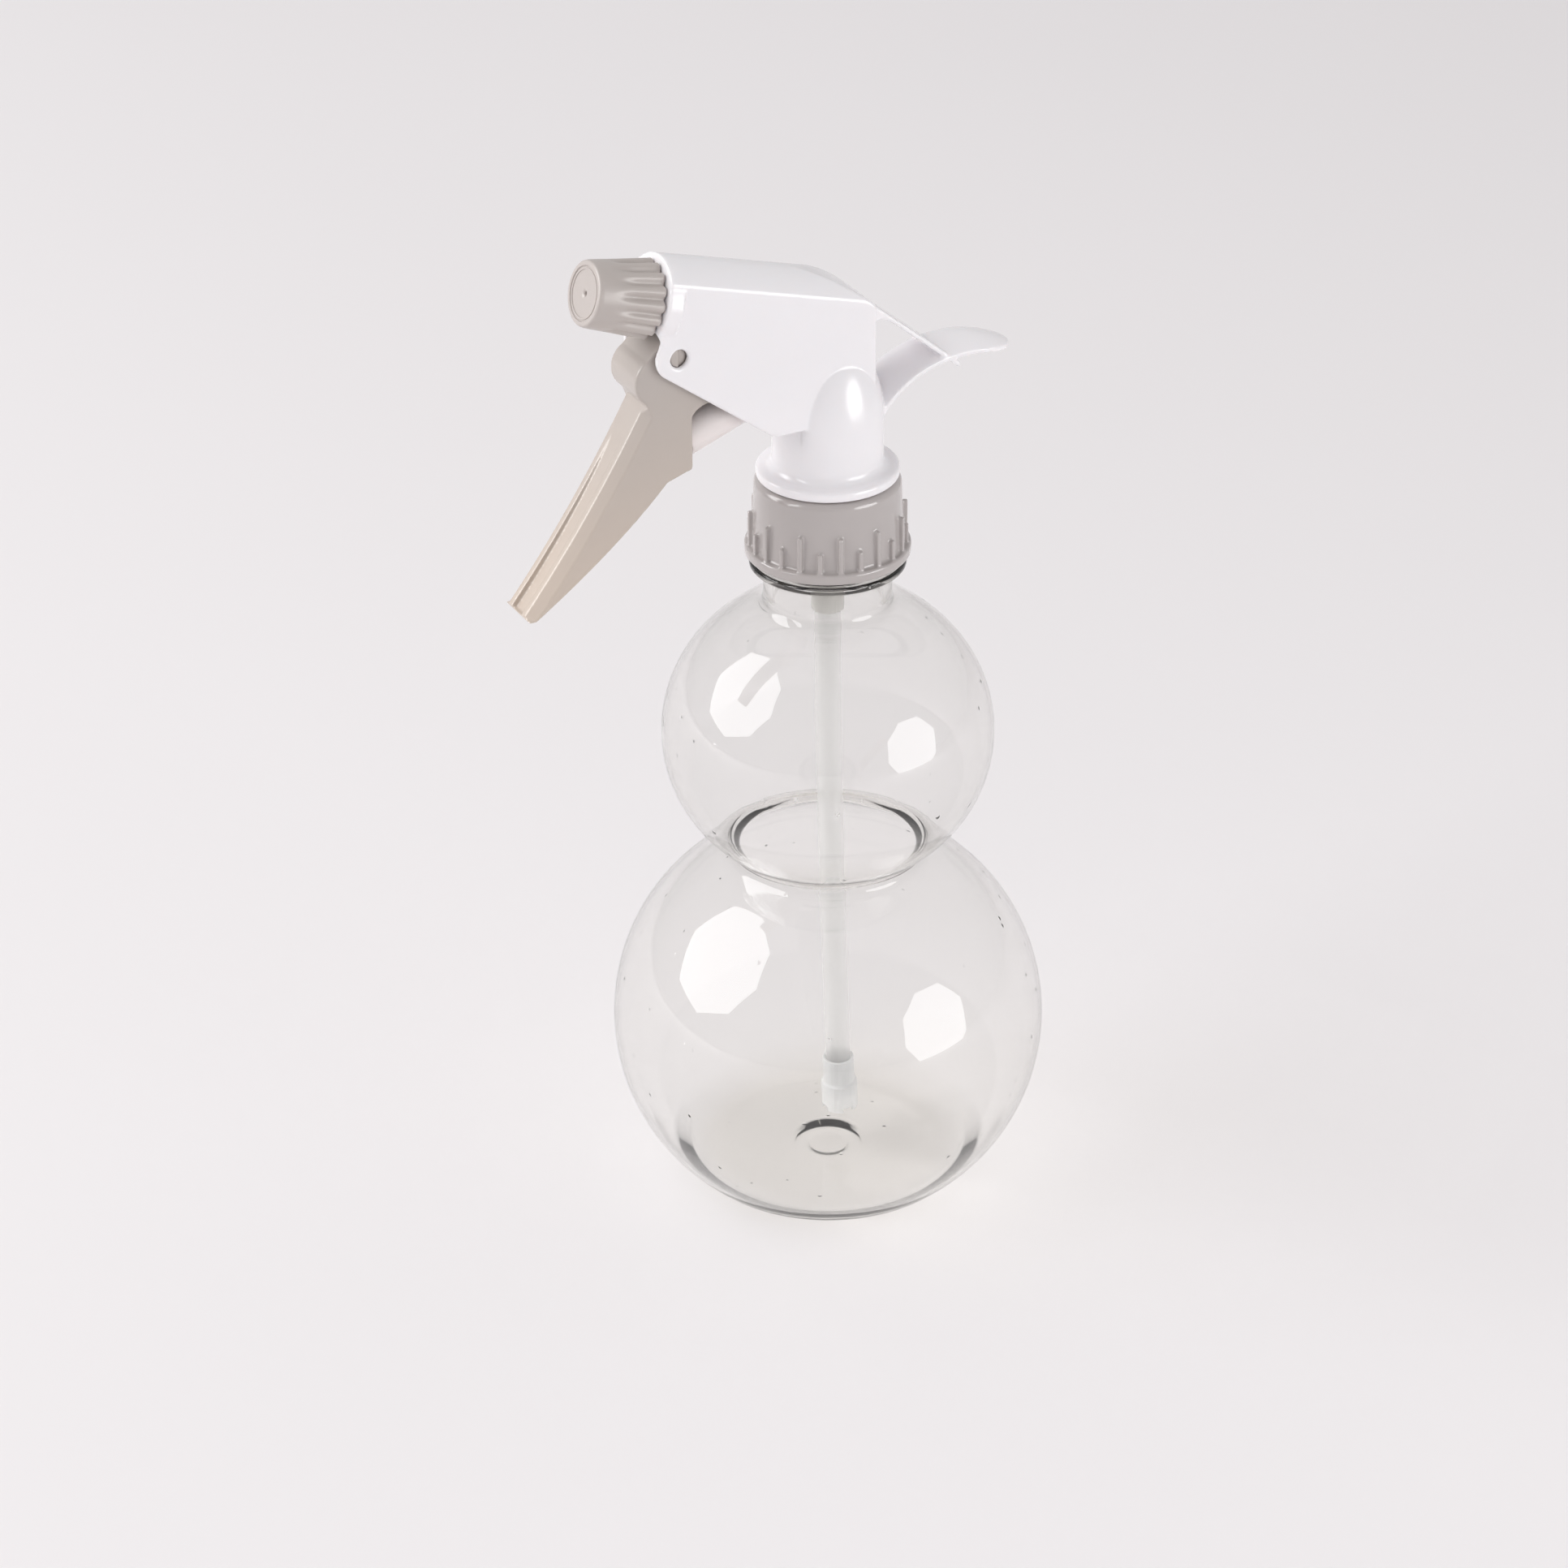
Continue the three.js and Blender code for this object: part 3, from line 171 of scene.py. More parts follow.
def combined(piece, tools, operation):
    for tool in tools:
        step = piece.modifiers.new("shape", "BOOLEAN")
        step.operation = operation
        step.solver = "EXACT"
        step.object = tool
    settle(piece)
    for tool in tools:
        bpy.data.objects.remove(tool)
    return piece


def joined(piece, *tools):
    return combined(piece, tools, "UNION")


def cut(piece, *tools):
    return combined(piece, tools, "DIFFERENCE")


def common(piece, *tools):
    return combined(piece, tools, "INTERSECT")


def moulded(piece, grain, rounds):
    # melts the edges into small even radii, as a moulding has them
    step = piece.modifiers.new("skin", "REMESH")
    step.mode = "VOXEL"
    step.voxel_size = grain
    ease = piece.modifiers.new("ease", "SMOOTH")
    ease.factor = 0.5
    ease.iterations = rounds
    return settle(piece)


def wireAlong(points, radius, sides=4, closed=False):
    path = bpy.data.curves.new("path", "CURVE")
    path.dimensions = "3D"
    path.bevel_depth = radius
    path.bevel_resolution = sides
    path.use_fill_caps = True
    spline = path.splines.new("POLY")
    spline.points.add(len(points) - 1)
    for point, place in zip(spline.points, points):
        point.co = (*place, 1)
    spline.use_cyclic_u = closed
    holder = bpy.data.objects.new("path", path)
    bpy.context.scene.collection.objects.link(holder)
    bpy.context.view_layer.update()
    graph = bpy.context.evaluated_depsgraph_get()
    mesh = bpy.data.meshes.new_from_object(holder.evaluated_get(graph))
    bpy.data.objects.remove(holder)
    bm = bmesh.new()
    bm.from_mesh(mesh)
    bmesh.ops.remove_doubles(bm, verts=bm.verts, dist=1e-4)
    return objectFrom(bm)


def helix(radius, pitch, turns, start, phase=0.0, perTurn=48):
    steps = math.ceil(turns * perTurn)
    points = []
    for i in range(steps + 1):
        angle = fullTurn * (turns * i / steps + phase)
        points.append((radius * math.cos(angle), radius * math.sin(angle), start + pitch * turns * i / steps))
    return points


def finished(piece, name, body, nodes, skin, sharp=None):
    # names the piece, turns it into metres, and hands it to the frame
    piece.name = name
    piece.data.name = name
    piece.data.transform(Matrix.Scale(metre, 4))
    piece.data.materials.clear()
    piece.data.materials.append(skin)
    for face in piece.data.polygons:
        face.use_smooth = True
        face.material_index = 0
    if sharp:
        piece.data.set_sharp_from_angle(angle=math.radians(sharp))
    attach(piece, body)
    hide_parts(*nodes)
    print("made", name, len(piece.data.polygons), "faces")
    return piece


# Materials.

def blankSkin(name):
    skin = bpy.data.materials.new(name)
    skin.use_nodes = True
    skin.node_tree.nodes.clear()
    return skin, skin.node_tree.nodes, skin.node_tree.links


def shadeNodes(nodes, links, scale, low, high, detail=3):
    # soft variation between two colours, read from the piece's own place
    place = nodes.new("ShaderNodeTexCoord")
    cloud = nodes.new("ShaderNodeTexNoise")
    cloud.inputs["Scale"].default_value = scale
    cloud.inputs["Detail"].default_value = detail
    links.new(place.outputs["Object"], cloud.inputs["Vector"])
    ramp = nodes.new("ShaderNodeValToRGB")
    ramp.color_ramp.elements[0].position = 0.3
    ramp.color_ramp.elements[1].position = 0.7
    ramp.color_ramp.elements[0].color = low
    ramp.color_ramp.elements[1].color = high
    links.new(cloud.outputs["Fac"], ramp.inputs["Fac"])
    return place, ramp


def fadeDown(nodes, links, place, colourOut, look):
    # the colour warms from one height down to another
    parts = nodes.new("ShaderNodeSeparateXYZ")
    links.new(place.outputs["Object"], parts.inputs["Vector"])
    span = nodes.new("ShaderNodeMapRange")
    span.inputs["From Min"].default_value = look["warmFrom"]
    span.inputs["From Max"].default_value = look["warmTo"]
    links.new(parts.outputs["Z"], span.inputs["Value"])
    mix = nodes.new("ShaderNodeMix")
    mix.data_type = "RGBA"
    links.new(span.outputs["Result"], mix.inputs["Factor"])
    links.new(colourOut, mix.inputs["A"])
    mix.inputs["B"].default_value = (*look["warm"], 1)
    return mix.outputs["Result"]


cloudScale = 60


def plasticSkin(name, look):
    skin, nodes, links = blankSkin(name)
    shader = nodes.new("ShaderNodeBsdfPrincipled")
    shader.inputs["IOR"].default_value = look.get("ior", 1.49)
    shader.inputs["Subsurface Weight"].default_value = look.get("glow", 0.0)
    shader.inputs["Subsurface Radius"].default_value = (1.0, 0.9, 0.85)
    shader.inputs["Subsurface Scale"].default_value = 0.0015
    shader.inputs["Coat Weight"].default_value = look.get("coat", 0.0)
    shader.inputs["Coat Roughness"].default_value = look.get("coatRough", 0.08)
    shader.inputs["Alpha"].default_value = look.get("alpha", 1.0)
    shader.inputs["Metallic"].default_value = look.get("metal", 0.0)
    colour = look["colour"]
    spread = look.get("spread", 0.02)
    low = (*[max(0.0, part - spread) for part in colour], 1)
    high = (*[min(1.0, part + spread) for part in colour], 1)
    place, ramp = shadeNodes(nodes, links, look.get("cloud", cloudScale), low, high)
    colourOut = ramp.outputs["Color"]
    if "warm" in look:
        colourOut = fadeDown(nodes, links, place, colourOut, look)
    links.new(colourOut, shader.inputs["Base Color"])
    gloss = nodes.new("ShaderNodeTexNoise")
    gloss.inputs["Scale"].default_value = look.get("grain", 350)
    gloss.inputs["Detail"].default_value = 4
    links.new(place.outputs["Object"], gloss.inputs["Vector"])
    span = nodes.new("ShaderNodeMapRange")
    span.inputs["To Min"].default_value = look["rough"] - look.get("roughSpread", 0.04)
    span.inputs["To Max"].default_value = look["rough"] + look.get("roughSpread", 0.04)
    links.new(gloss.outputs["Fac"], span.inputs["Value"])
    links.new(span.outputs["Result"], shader.inputs["Roughness"])
    bump = nodes.new("ShaderNodeBump")
    bump.inputs["Strength"].default_value = look.get("bump", 0.12)
    bump.inputs["Distance"].default_value = 0.00003
    ripple = nodes.new("ShaderNodeTexNoise")
    ripple.inputs["Scale"].default_value = look.get("ripple", 900)
    links.new(place.outputs["Object"], ripple.inputs["Vector"])
    links.new(ripple.outputs["Fac"], bump.inputs["Height"])
    links.new(bump.outputs["Normal"], shader.inputs["Normal"])
    output = nodes.new("ShaderNodeOutputMaterial")
    links.new(shader.outputs["BSDF"], output.inputs["Surface"])
    return skin


clearLook = {
    "tint": (0.990, 0.988, 0.984),
    "rough": 0.02,
    "ior": 1.46,
    "smoke": (0.64, 0.62, 0.57),  # what the wall's own colour lets through
    "depth": 70.0,  # how fast the smoke builds up, per metre
    "lampTint": (0.985, 0.983, 0.978),
    "speckScale": 130.0,
}


def clearSkin():
    look = clearLook
    skin, nodes, links = blankSkin("smokeClearPlastic")
    shader = nodes.new("ShaderNodeBsdfPrincipled")
    shader.inputs["Base Color"].default_value = (*look["tint"], 1)
    shader.inputs["Transmission Weight"].default_value = 1.0
    shader.inputs["IOR"].default_value = look["ior"]
    place = nodes.new("ShaderNodeTexCoord")
    haze = nodes.new("ShaderNodeTexNoise")
    haze.inputs["Scale"].default_value = 22
    haze.inputs["Detail"].default_value = 2
    links.new(place.outputs["Object"], haze.inputs["Vector"])
    span = nodes.new("ShaderNodeMapRange")
    span.inputs["To Min"].default_value = look["rough"] * 0.5
    span.inputs["To Max"].default_value = look["rough"] * 2
    links.new(haze.outputs["Fac"], span.inputs["Value"])
    links.new(span.outputs["Result"], shader.inputs["Roughness"])
    # slow waves that blowing leaves in the wall, and a few small bubbles
    waves = nodes.new("ShaderNodeTexNoise")
    waves.inputs["Scale"].default_value = 16
    waves.inputs["Detail"].default_value = 0
    links.new(place.outputs["Object"], waves.inputs["Vector"])
    wavy = nodes.new("ShaderNodeBump")
    wavy.inputs["Strength"].default_value = 0.12
    wavy.inputs["Distance"].default_value = 0.0006
    links.new(waves.outputs["Fac"], wavy.inputs["Height"])
    cells = nodes.new("ShaderNodeTexVoronoi")
    cells.inputs["Scale"].default_value = look["speckScale"]
    links.new(place.outputs["Object"], cells.inputs["Vector"])
    few = nodes.new("ShaderNodeMapRange")
    few.inputs["From Min"].default_value = 0.0
    few.inputs["From Max"].default_value = 0.07
    few.inputs["To Min"].default_value = 1.0
    few.inputs["To Max"].default_value = 0.0
    links.new(cells.outputs["Distance"], few.inputs["Value"])
    specks = nodes.new("ShaderNodeBump")
    specks.inputs["Strength"].default_value = 0.6
    specks.inputs["Distance"].default_value = 0.0002
    links.new(few.outputs["Result"], specks.inputs["Height"])
    links.new(wavy.outputs["Normal"], specks.inputs["Normal"])
    links.new(specks.outputs["Normal"], shader.inputs["Normal"])
    lamps = nodes.new("ShaderNodeBsdfTransparent")
    lamps.inputs["Color"].default_value = (*look["lampTint"], 1)
    rays = nodes.new("ShaderNodeLightPath")
    mix = nodes.new("ShaderNodeMixShader")
    links.new(rays.outputs["Is Shadow Ray"], mix.inputs["Fac"])
    links.new(shader.outputs["BSDF"], mix.inputs[1])
    links.new(lamps.outputs["BSDF"], mix.inputs[2])
    inside = nodes.new("ShaderNodeVolumeAbsorption")
    inside.inputs["Color"].default_value = (*look["smoke"], 1)
    inside.inputs["Density"].default_value = look["depth"]
    output = nodes.new("ShaderNodeOutputMaterial")
    links.new(mix.outputs["Shader"], output.inputs["Surface"])
    links.new(inside.outputs["Volume"], output.inputs["Volume"])
    return skin


whiteLook = {"colour": (0.905, 0.885, 0.905), "rough": 0.22, "glow": 0.3, "spread": 0.004, "coat": 0.2}
collarLook = {"colour": (0.47, 0.435, 0.425), "rough": 0.18, "glow": 0.1, "spread": 0.004, "coat": 0.45}
triggerLook = {"colour": (0.475, 0.43, 0.40), "warm": (0.585, 0.50, 0.43), "warmFrom": 0.195, "warmTo": 0.155,
               "rough": 0.3, "glow": 0.1, "spread": 0.004, "coat": 0.15}
capLook = {"colour": (0.50, 0.455, 0.43), "rough": 0.34, "glow": 0.1, "spread": 0.005}
pistonLook = {"colour": (0.87, 0.80, 0.785), "rough": 0.32, "glow": 0.3, "spread": 0.012}
milkyLook = {"colour": (0.88, 0.875, 0.87), "rough": 0.3, "alpha": 0.28, "spread": 0.006}
retainerLook = {"colour": (0.82, 0.80, 0.77), "rough": 0.35, "alpha": 0.5, "spread": 0.006}
strainerLook = {"colour": (0.90, 0.905, 0.91), "rough": 0.3, "alpha": 0.55, "spread": 0.006}
sealLook = {"colour": (0.05, 0.05, 0.055), "rough": 0.6, "spread": 0.01, "bump": 0.4}
steelLook = {"colour": (0.62, 0.63, 0.64), "rough": 0.25, "metal": 1.0, "spread": 0.03, "ripple": 1500}

skins = {
    "clear_bottle": clearSkin(),
    "white_shroud": plasticSkin("whiteShroudPlastic", whiteLook),
    "white_body": plasticSkin("whiteBodyPlastic", whiteLook),
    "warm_grey_collar": plasticSkin("warmGreyCollar", collarLook),
    "warm_grey_trigger": plasticSkin("warmGreyTrigger", triggerLook),
    "warm_grey_nozzle": plasticSkin("warmGreyNozzle", capLook),
    "natural_piston": plasticSkin("naturalPiston", pistonLook),
    "milky_tube": plasticSkin("milkyTube", milkyLook),
    "seal": plasticSkin("softSeal", sealLook),
    "steel": plasticSkin("springSteel", steelLook),
}
skins["retainer"] = plasticSkin("milkyRetainer", retainerLook)
skins["strainer"] = plasticSkin("milkyStrainer", strainerLook)
print("materials ready")


# Bottle: two globes, heel, neck, support ring and thread, with a real inside.

bottleSizes = {
    "wall": 0.8, "baseWall": 2.4, "lower": (46.0, 45.1), "upper": (34.6, 32.4), "baseCut": 9.2,
    "overlap": 8.8, "waist": 5.5, "heel": 9.0, "boss": 4.2, "bossRing": 7.5, "recess": 0.3, "slope": 0.8,
    "neckOut": 13.2, "neckIn": 11.2, "threadRoot": 12.75, "neckRise": 6.6, "finish": 12.9,
    "ring": 16.1, "ringHeight": 1.7, "ringEdge": 0.6, "shoulderShare": 0.86,
    "pitch": 4.23, "turns": 1.5, "threadStart": 2.6, "bead": 0.65, "sides": 160,
}


def bottleWall(inset, floor, neckRadius, steps):
    size = bottleSizes
    lowerR, lowerH = size["lower"]
    upperR, upperH = size["upper"]
    lowerMid = lowerH - size["baseCut"]
    upperMid = lowerMid + lowerH - size["overlap"] + upperH
    ringFoot = upperMid + upperH + size["neckRise"]

    def globe(radius, half, centre, z):
        reach = (z - centre) / (half - inset)
        return (radius - inset) * math.sqrt(max(0.0, 1 - reach * reach)) if abs(reach) < 1 else 0.0

    def radiusAt(z):
        a = globe(upperR, upperH, upperMid, z)
        b = neckRadius if z > upperMid else globe(lowerR, lowerH, lowerMid, z)
        return (a ** size["waist"] + b ** size["waist"]) ** (1 / size["waist"])

    heel = size["heel"]
    reach = (lowerR + lowerH) / 2 - heel
    heelCentre = math.sqrt(reach ** 2 - (lowerMid - heel) ** 2)
    heelTurn = math.atan2(heelCentre, lowerMid - heel)
    points = []
    for i in range(17):
        turn = heelTurn * i / 16
        corner = heel - inset
        points.append((heelCentre + corner * math.sin(turn), floor + corner * (1 - math.cos(turn))))
    start = points[-1][1]
    waistZ = lowerMid + lowerH - size["overlap"] / 2
    shoulderZ = upperMid + size["shoulderShare"] * upperH
    spans = [(lowerMid, lowerH, start, waistZ), (upperMid, upperH, waistZ, shoulderZ)]
    for centre, half, z0, z1 in spans:
        a0 = math.acos(max(-1, min(1, (centre - z0) / half)))
        a1 = math.acos(max(-1, min(1, (centre - z1) / half)))
        for i in range(1, steps + 1):
            z = centre - half * math.cos(a0 + (a1 - a0) * i / steps)
            points.append((radiusAt(z), z))
    top = points[-1][1]
    for i in range(1, 15):
        z = top + (ringFoot - top) * i / 14
        points.append((radiusAt(z), z))
    return points, ringFoot


def makeBottle():
    size = bottleSizes
    outer, ringFoot = bottleWall(0, 0, size["neckOut"], 56)
    inner, _ = bottleWall(size["wall"], size["baseWall"], size["neckIn"], 56)
    boss, ring, recess, slope = size["boss"], size["bossRing"], size["recess"], size["slope"]
    ringTop = ringFoot + size["ringHeight"]
    neckTop = ringTop + size["finish"]
    edge = size["ringEdge"]
    outside = [(0, 0), (boss - 0.3, 0)]
    outside += curve((boss, 0), (boss + slope, recess), (boss + 2 * slope, recess), 8)
    outside += curve((ring - 2 * slope, recess), (ring - slope, recess), (ring, 0), 8)
    outside += outer
    outside += arc((size["ring"] - edge, ringFoot + edge), edge, -math.pi / 2, 0, 5)
    outside += arc((size["ring"] - edge, ringTop - edge), edge, 0, math.pi / 2, 5)
    outside += curve((size["threadRoot"] + 0.5, ringTop), (size["threadRoot"], ringTop),
                     (size["threadRoot"], ringTop + 0.5), 4)
    outside += arc((size["threadRoot"] - 0.4, neckTop - 0.4), 0.4, 0, math.pi / 2, 4)
    inside = [(0, size["baseWall"] + 0.15)]
    inside += curve((1.2, size["baseWall"] + 0.1), (boss - 0.6, size["baseWall"] - 0.1),
                    (boss, size["baseWall"] + recess * 0.6), 6)
    inside += curve((ring - slope, size["baseWall"] + recess * 0.6), (ring + 0.4, size["baseWall"] + recess),
                    (ring + 1.4, size["baseWall"]), 6)
    inside += inner
    inside += [(size["neckIn"], neckTop - 0.3), (size["neckIn"] + 0.3, neckTop)]
    shell = turned(outside + inside[::-1], size["sides"])
    thread = wireAlong(helix(size["threadRoot"], size["pitch"], size["turns"], ringTop + size["threadStart"]),
                       size["bead"])
    return joined(shell, thread)


finished(makeBottle(), "clearBottle", "bottle_body", ["bottle"], skins["clear_bottle"], 40)


# Collar: smooth band, rounded shoulder, long and short ribs and a rim.

collarSizes = {
    "top": 15.0, "foot": 15.5, "bore": 13.75, "shoulder": 1.5, "rim": 17.0, "rimHeight": 2.2, "lipBore": 10.6,
    "lip": 1.25, "ribs": 12, "ribOut": 16.4, "ribHalf": 0.5, "long": 7.7, "short": 4.3, "phase": 11,
    "edge": 0.45, "grain": 0.22, "bead": 0.55, "pitch": 4.23, "beadStart": 2.6 + 4.23 / 2,
}


def makeCollar():
    size = collarSizes
    foot, top = lowOf("collar").z, highOf("collar").z
    rimTop = foot + size["rimHeight"]
    edge = size["edge"]
    profile = arc((size["rim"] - edge, foot + edge), edge, -math.pi / 2, 0, 5)
    profile += arc((size["rim"] - edge, rimTop - edge), edge, 0, math.pi / 2, 5)
    profile += curve((size["foot"] + 0.5, rimTop), (size["foot"], rimTop), (size["foot"], rimTop + 0.6), 4)
    profile += arc((size["top"] - size["shoulder"], top - size["shoulder"]), size["shoulder"],
                   0, math.pi / 2, 12)
    profile += [(size["lipBore"], top), (size["lipBore"], top - size["lip"]),
                (size["bore"], top - size["lip"]), (size["bore"], foot)]
    body = turned(profile, 192)
    ribs = []
    for i in range(2 * size["ribs"]):
        reach = size["long"] if i % 2 == 0 else size["short"]
        turn = Matrix.Rotation(math.radians(size["phase"] + 180 / size["ribs"] * i), 4, "Z")
        half = size["ribHalf"]
        outline = [(-half, rimTop - 1), (half, rimTop - 1)]
        outline += arc((0, rimTop + reach - half), half, 0, math.pi, 8)
        bm = slab([(y, z) for y, z in outline], size["bore"] + 0.8, size["ribOut"])
        bm.transform(turn @ Matrix.Rotation(-math.pi / 2, 4, "Z"))
        ribs.append(objectFrom(bm))
    thread = wireAlong(helix(size["bore"], size["pitch"], 1.0, foot - 1.2 + size["beadStart"]), size["bead"])
    joined(body, *ribs, thread)
    return moulded(body, size["grain"], 4)


finished(makeCollar(), "ribbedCollar", "collar_body", ["collar"],
         skins["warm_grey_collar"])


# Shroud: side panels under a barrel roof, neck with a domed top, flange, strap and saddle tail.

shroudSizes = {
    "wall": 1.2, "flange": 14.6, "flangeHeight": 1.5, "flangeCone": 1.6, "flangeEdge": 0.6,
    "neck": 11.3, "neckHeight": 12.6, "dome": 18.0,
    "half": 7.5, "back": 7.0, "foot": 14.3, "footRound": 3.0, "slope": 36.9,
    "ledge": 5.6, "ledgeStep": 0.6, "crest": 9.1, "bendDrop": 9.1, "bendStart": 12.3,
    "reach": 55.4, "capLength": 14.0, "gap": 0.3,
    "bezel": 8.8, "bezelLength": 3.4, "bezelHang": 5.2, "bezelWall": 1.6,
    "ear": 4.4, "earForward": 0.5, "noseRise": 3.9, "pinHole": 1.88, "noseHole": 4.9,
    "tailHalf": 6.0, "tailThick": 1.2, "tailCrown": 1.2, "tailLength": 41.0, "tailRise": 10.2, "tipDrop": 3.6,
    "rootDrop": 1.0, "kneeBack": 2.0, "tailBend": 6.5, "tipStretch": 1.25,
    "strapSlope": 40.0, "strapThick": 1.2, "landing": 27.0, "grain": 0.3,
    "earTurn": 0.15, "noseShare": 0.72, "roofHalf": 50,
}
barrelHeight = barrelStart.z - headFoot


def barrelPoint(along, rise):
    return (along * math.cos(barrelTilt) - rise * math.sin(barrelTilt),
            barrelHeight + along * math.sin(barrelTilt) + rise * math.cos(barrelTilt))


def crestLine():
    size = shroudSizes
    start = barrelPoint(size["bendStart"], size["crest"])
    end = (-size["back"], start[1] - size["bendDrop"])
    tilt, fall = math.tan(barrelTilt), math.tan(math.radians(size["strapSlope"]))
    x = (end[1] - fall * end[0] - start[1] + tilt * start[0]) / (tilt - fall)
    return start, (x, start[1] + tilt * (x - start[0])), end, fall


def panelOutline(drop):
    size = shroudSizes
    start, bend, end, _ = crestLine()
    front = size["reach"] - size["capLength"] - size["gap"]
    slope = math.radians(size["slope"])
    centre = (pivot.x + size["earForward"], pivot.z - headFoot)
    below = (centre[0] + size["ear"] * math.sin(slope), centre[1] - size["ear"] * math.cos(slope))
    footX = below[0] - (below[1] - size["foot"]) / math.tan(slope)
    corner = size["footRound"] * math.tan(slope / 2)
    points = [(-size["back"], size["foot"])]
    points += curve((footX - corner, size["foot"]), (footX, size["foot"]),
                    (footX + corner * math.cos(slope), size["foot"] + corner * math.sin(slope)), 6)
    points += arc(centre, size["ear"], slope - math.pi / 2, size["earTurn"] * math.pi, 16)
    points += [(centre[0] + size["noseShare"] * size["ear"], centre[1] + size["noseRise"]),
               barrelPoint(front, -size["bezelHang"]), barrelPoint(front, size["crest"] - drop)]
    points += curve((start[0], start[1] - drop), (bend[0], bend[1] - drop), (end[0], end[1] - drop), 24)
    return points


def roofOutline(inset):
    size = shroudSizes
    half = size["half"] - inset
    ledge = size["ledge"] - inset / 2
    top = size["crest"] - inset
    rise = top - ledge - size["ledgeStep"]
    chord = half - size["ledgeStep"]
    radius = (chord ** 2 + rise ** 2) / (2 * rise)
    sweep = math.asin(min(1.0, chord / radius))
    points = [(60, -half), (60, half), (-ledge, half)]
    for i in range(33):
        angle = sweep * (1 - i / 16)
        points.append((-(top - radius + radius * math.cos(angle)), radius * math.sin(angle)))
    points.append((-ledge, -half))
    return points


onHead = Matrix.Translation((0, 0, headFoot))
alongBarrel = turnedTo(sprayAxis, barrelStart)


def sideSlab(outline, half):
    bm = slab(outline, -half, half)
    bm.transform(onHead)
    return objectFrom(bm)


def roofPrism(inset):
    half = shroudSizes["roofHalf"]
    bm = slab(roofOutline(inset), -half, half, "plan")
    bm.transform(alongBarrel)
    return objectFrom(bm)


def domedNeck(inset, low):
    size = shroudSizes
    radius, height = size["neck"] - inset, size["dome"] - inset
    profile = [(0, low), (radius, low)]
    for i in range(25):
        angle = math.pi / 2 * i / 24
        profile.append((radius * math.cos(angle), size["neckHeight"] + height * math.sin(angle)))
    profile[-1] = (0, profile[-1][1])
    return turned(profile, 128, onHead)


def makeFlange():
    size = shroudSizes
    edge, inner = size["flangeEdge"], size["neck"] - size["wall"]
    top = size["flangeHeight"] + size["flangeCone"]
    profile = [(inner, 0)] + arc((size["flange"] - edge, edge), edge, -math.pi / 2, 0, 5)
    profile += arc((size["flange"] - edge, size["flangeHeight"] + edge / 2 - 0.2), edge, 0, math.pi / 3, 5)
    profile += curve((size["flange"] - 1.4, size["flangeHeight"] + 0.75), (size["neck"], top - 0.9),
                     (size["neck"] - 0.2, top + size["flangeCone"]), 10)
    profile += [(inner, top + size["flangeCone"])]
    return turned(profile, 160, onHead)


def makeTail():
    # a crowned strip swept from the neck to its knee and tip, ending in a half round
    size = shroudSizes
    root = size["neck"] - 2 * size["wall"]
    startZ = size["neckHeight"] - size["rootDrop"]
    high = startZ + size["tailRise"]
    knee = -size["landing"] - size["kneeBack"]
    path = curve((-root, startZ), (-root - size["tailBend"], high), (knee, high), 40)
    end = (-size["tailLength"] - 1, high - size["tipDrop"])
    path += curve((knee, high), (knee - size["tailBend"], high), end, 20)[1:]
    across = [size["tailHalf"] * (i / 12 - 1) for i in range(25)]
    bm = bmesh.new()
    rows = []
    for x, z in path:
        crown = [z + size["tailCrown"] * (1 - (y / size["tailHalf"]) ** 2) for y in across]
        rows.append([bm.verts.new((x, y, top)) for y, top in zip(across, crown)])
    for near, far in zip(rows, rows[1:]):
        for i in range(len(across) - 1):
            bm.faces.new((near[i], near[i + 1], far[i + 1], far[i]))
    bmesh.ops.recalc_face_normals(bm, faces=bm.faces)
    if sum(face.normal.z for face in bm.faces) > 0:
        bmesh.ops.reverse_faces(bm, faces=bm.faces)
    bmesh.ops.solidify(bm, geom=bm.faces[:], thickness=size["tailThick"])
    bm.transform(onHead)
    strip = objectFrom(bm)
    tip = size["tipStretch"] * size["tailHalf"]
    centre = tip - size["tailLength"]
    half = size["tailHalf"]
    plan = [(0, -half - 1), (0, half + 1), (centre, half + 1)]
    for i in range(33):
        angle = math.pi / 2 + math.pi * i / 32
        plan.append((centre + tip * math.cos(angle), half * math.sin(angle)))
    plan.append((centre, -half - 1))
    return common(strip, objectFrom(slab(plan, headFoot, headFoot + 3 * size["tailRise"], "plan")))


def makeStrap():
    size = shroudSizes
    _, _, end, fall = crestLine()
    drop = size["strapThick"] / math.cos(math.radians(size["strapSlope"]))

    def top(x):
        return end[1] + fall * (x - end[0])

    back, land, inside = -size["back"], -size["landing"], -size["back"] + size["wall"]
    outline = [(inside, top(inside) - 0.4), (land, top(land) - 0.2), (land, top(land) - drop)]
    outline += curve((back - 5.2, top(back - 5.2) - drop), (back - 0.4, top(back) - drop - 0.4),
                     (back, top(back) - 6.4), 10)
    outline += [(inside, top(back) - 6.4)]
    return sideSlab(outline, size["tailHalf"])


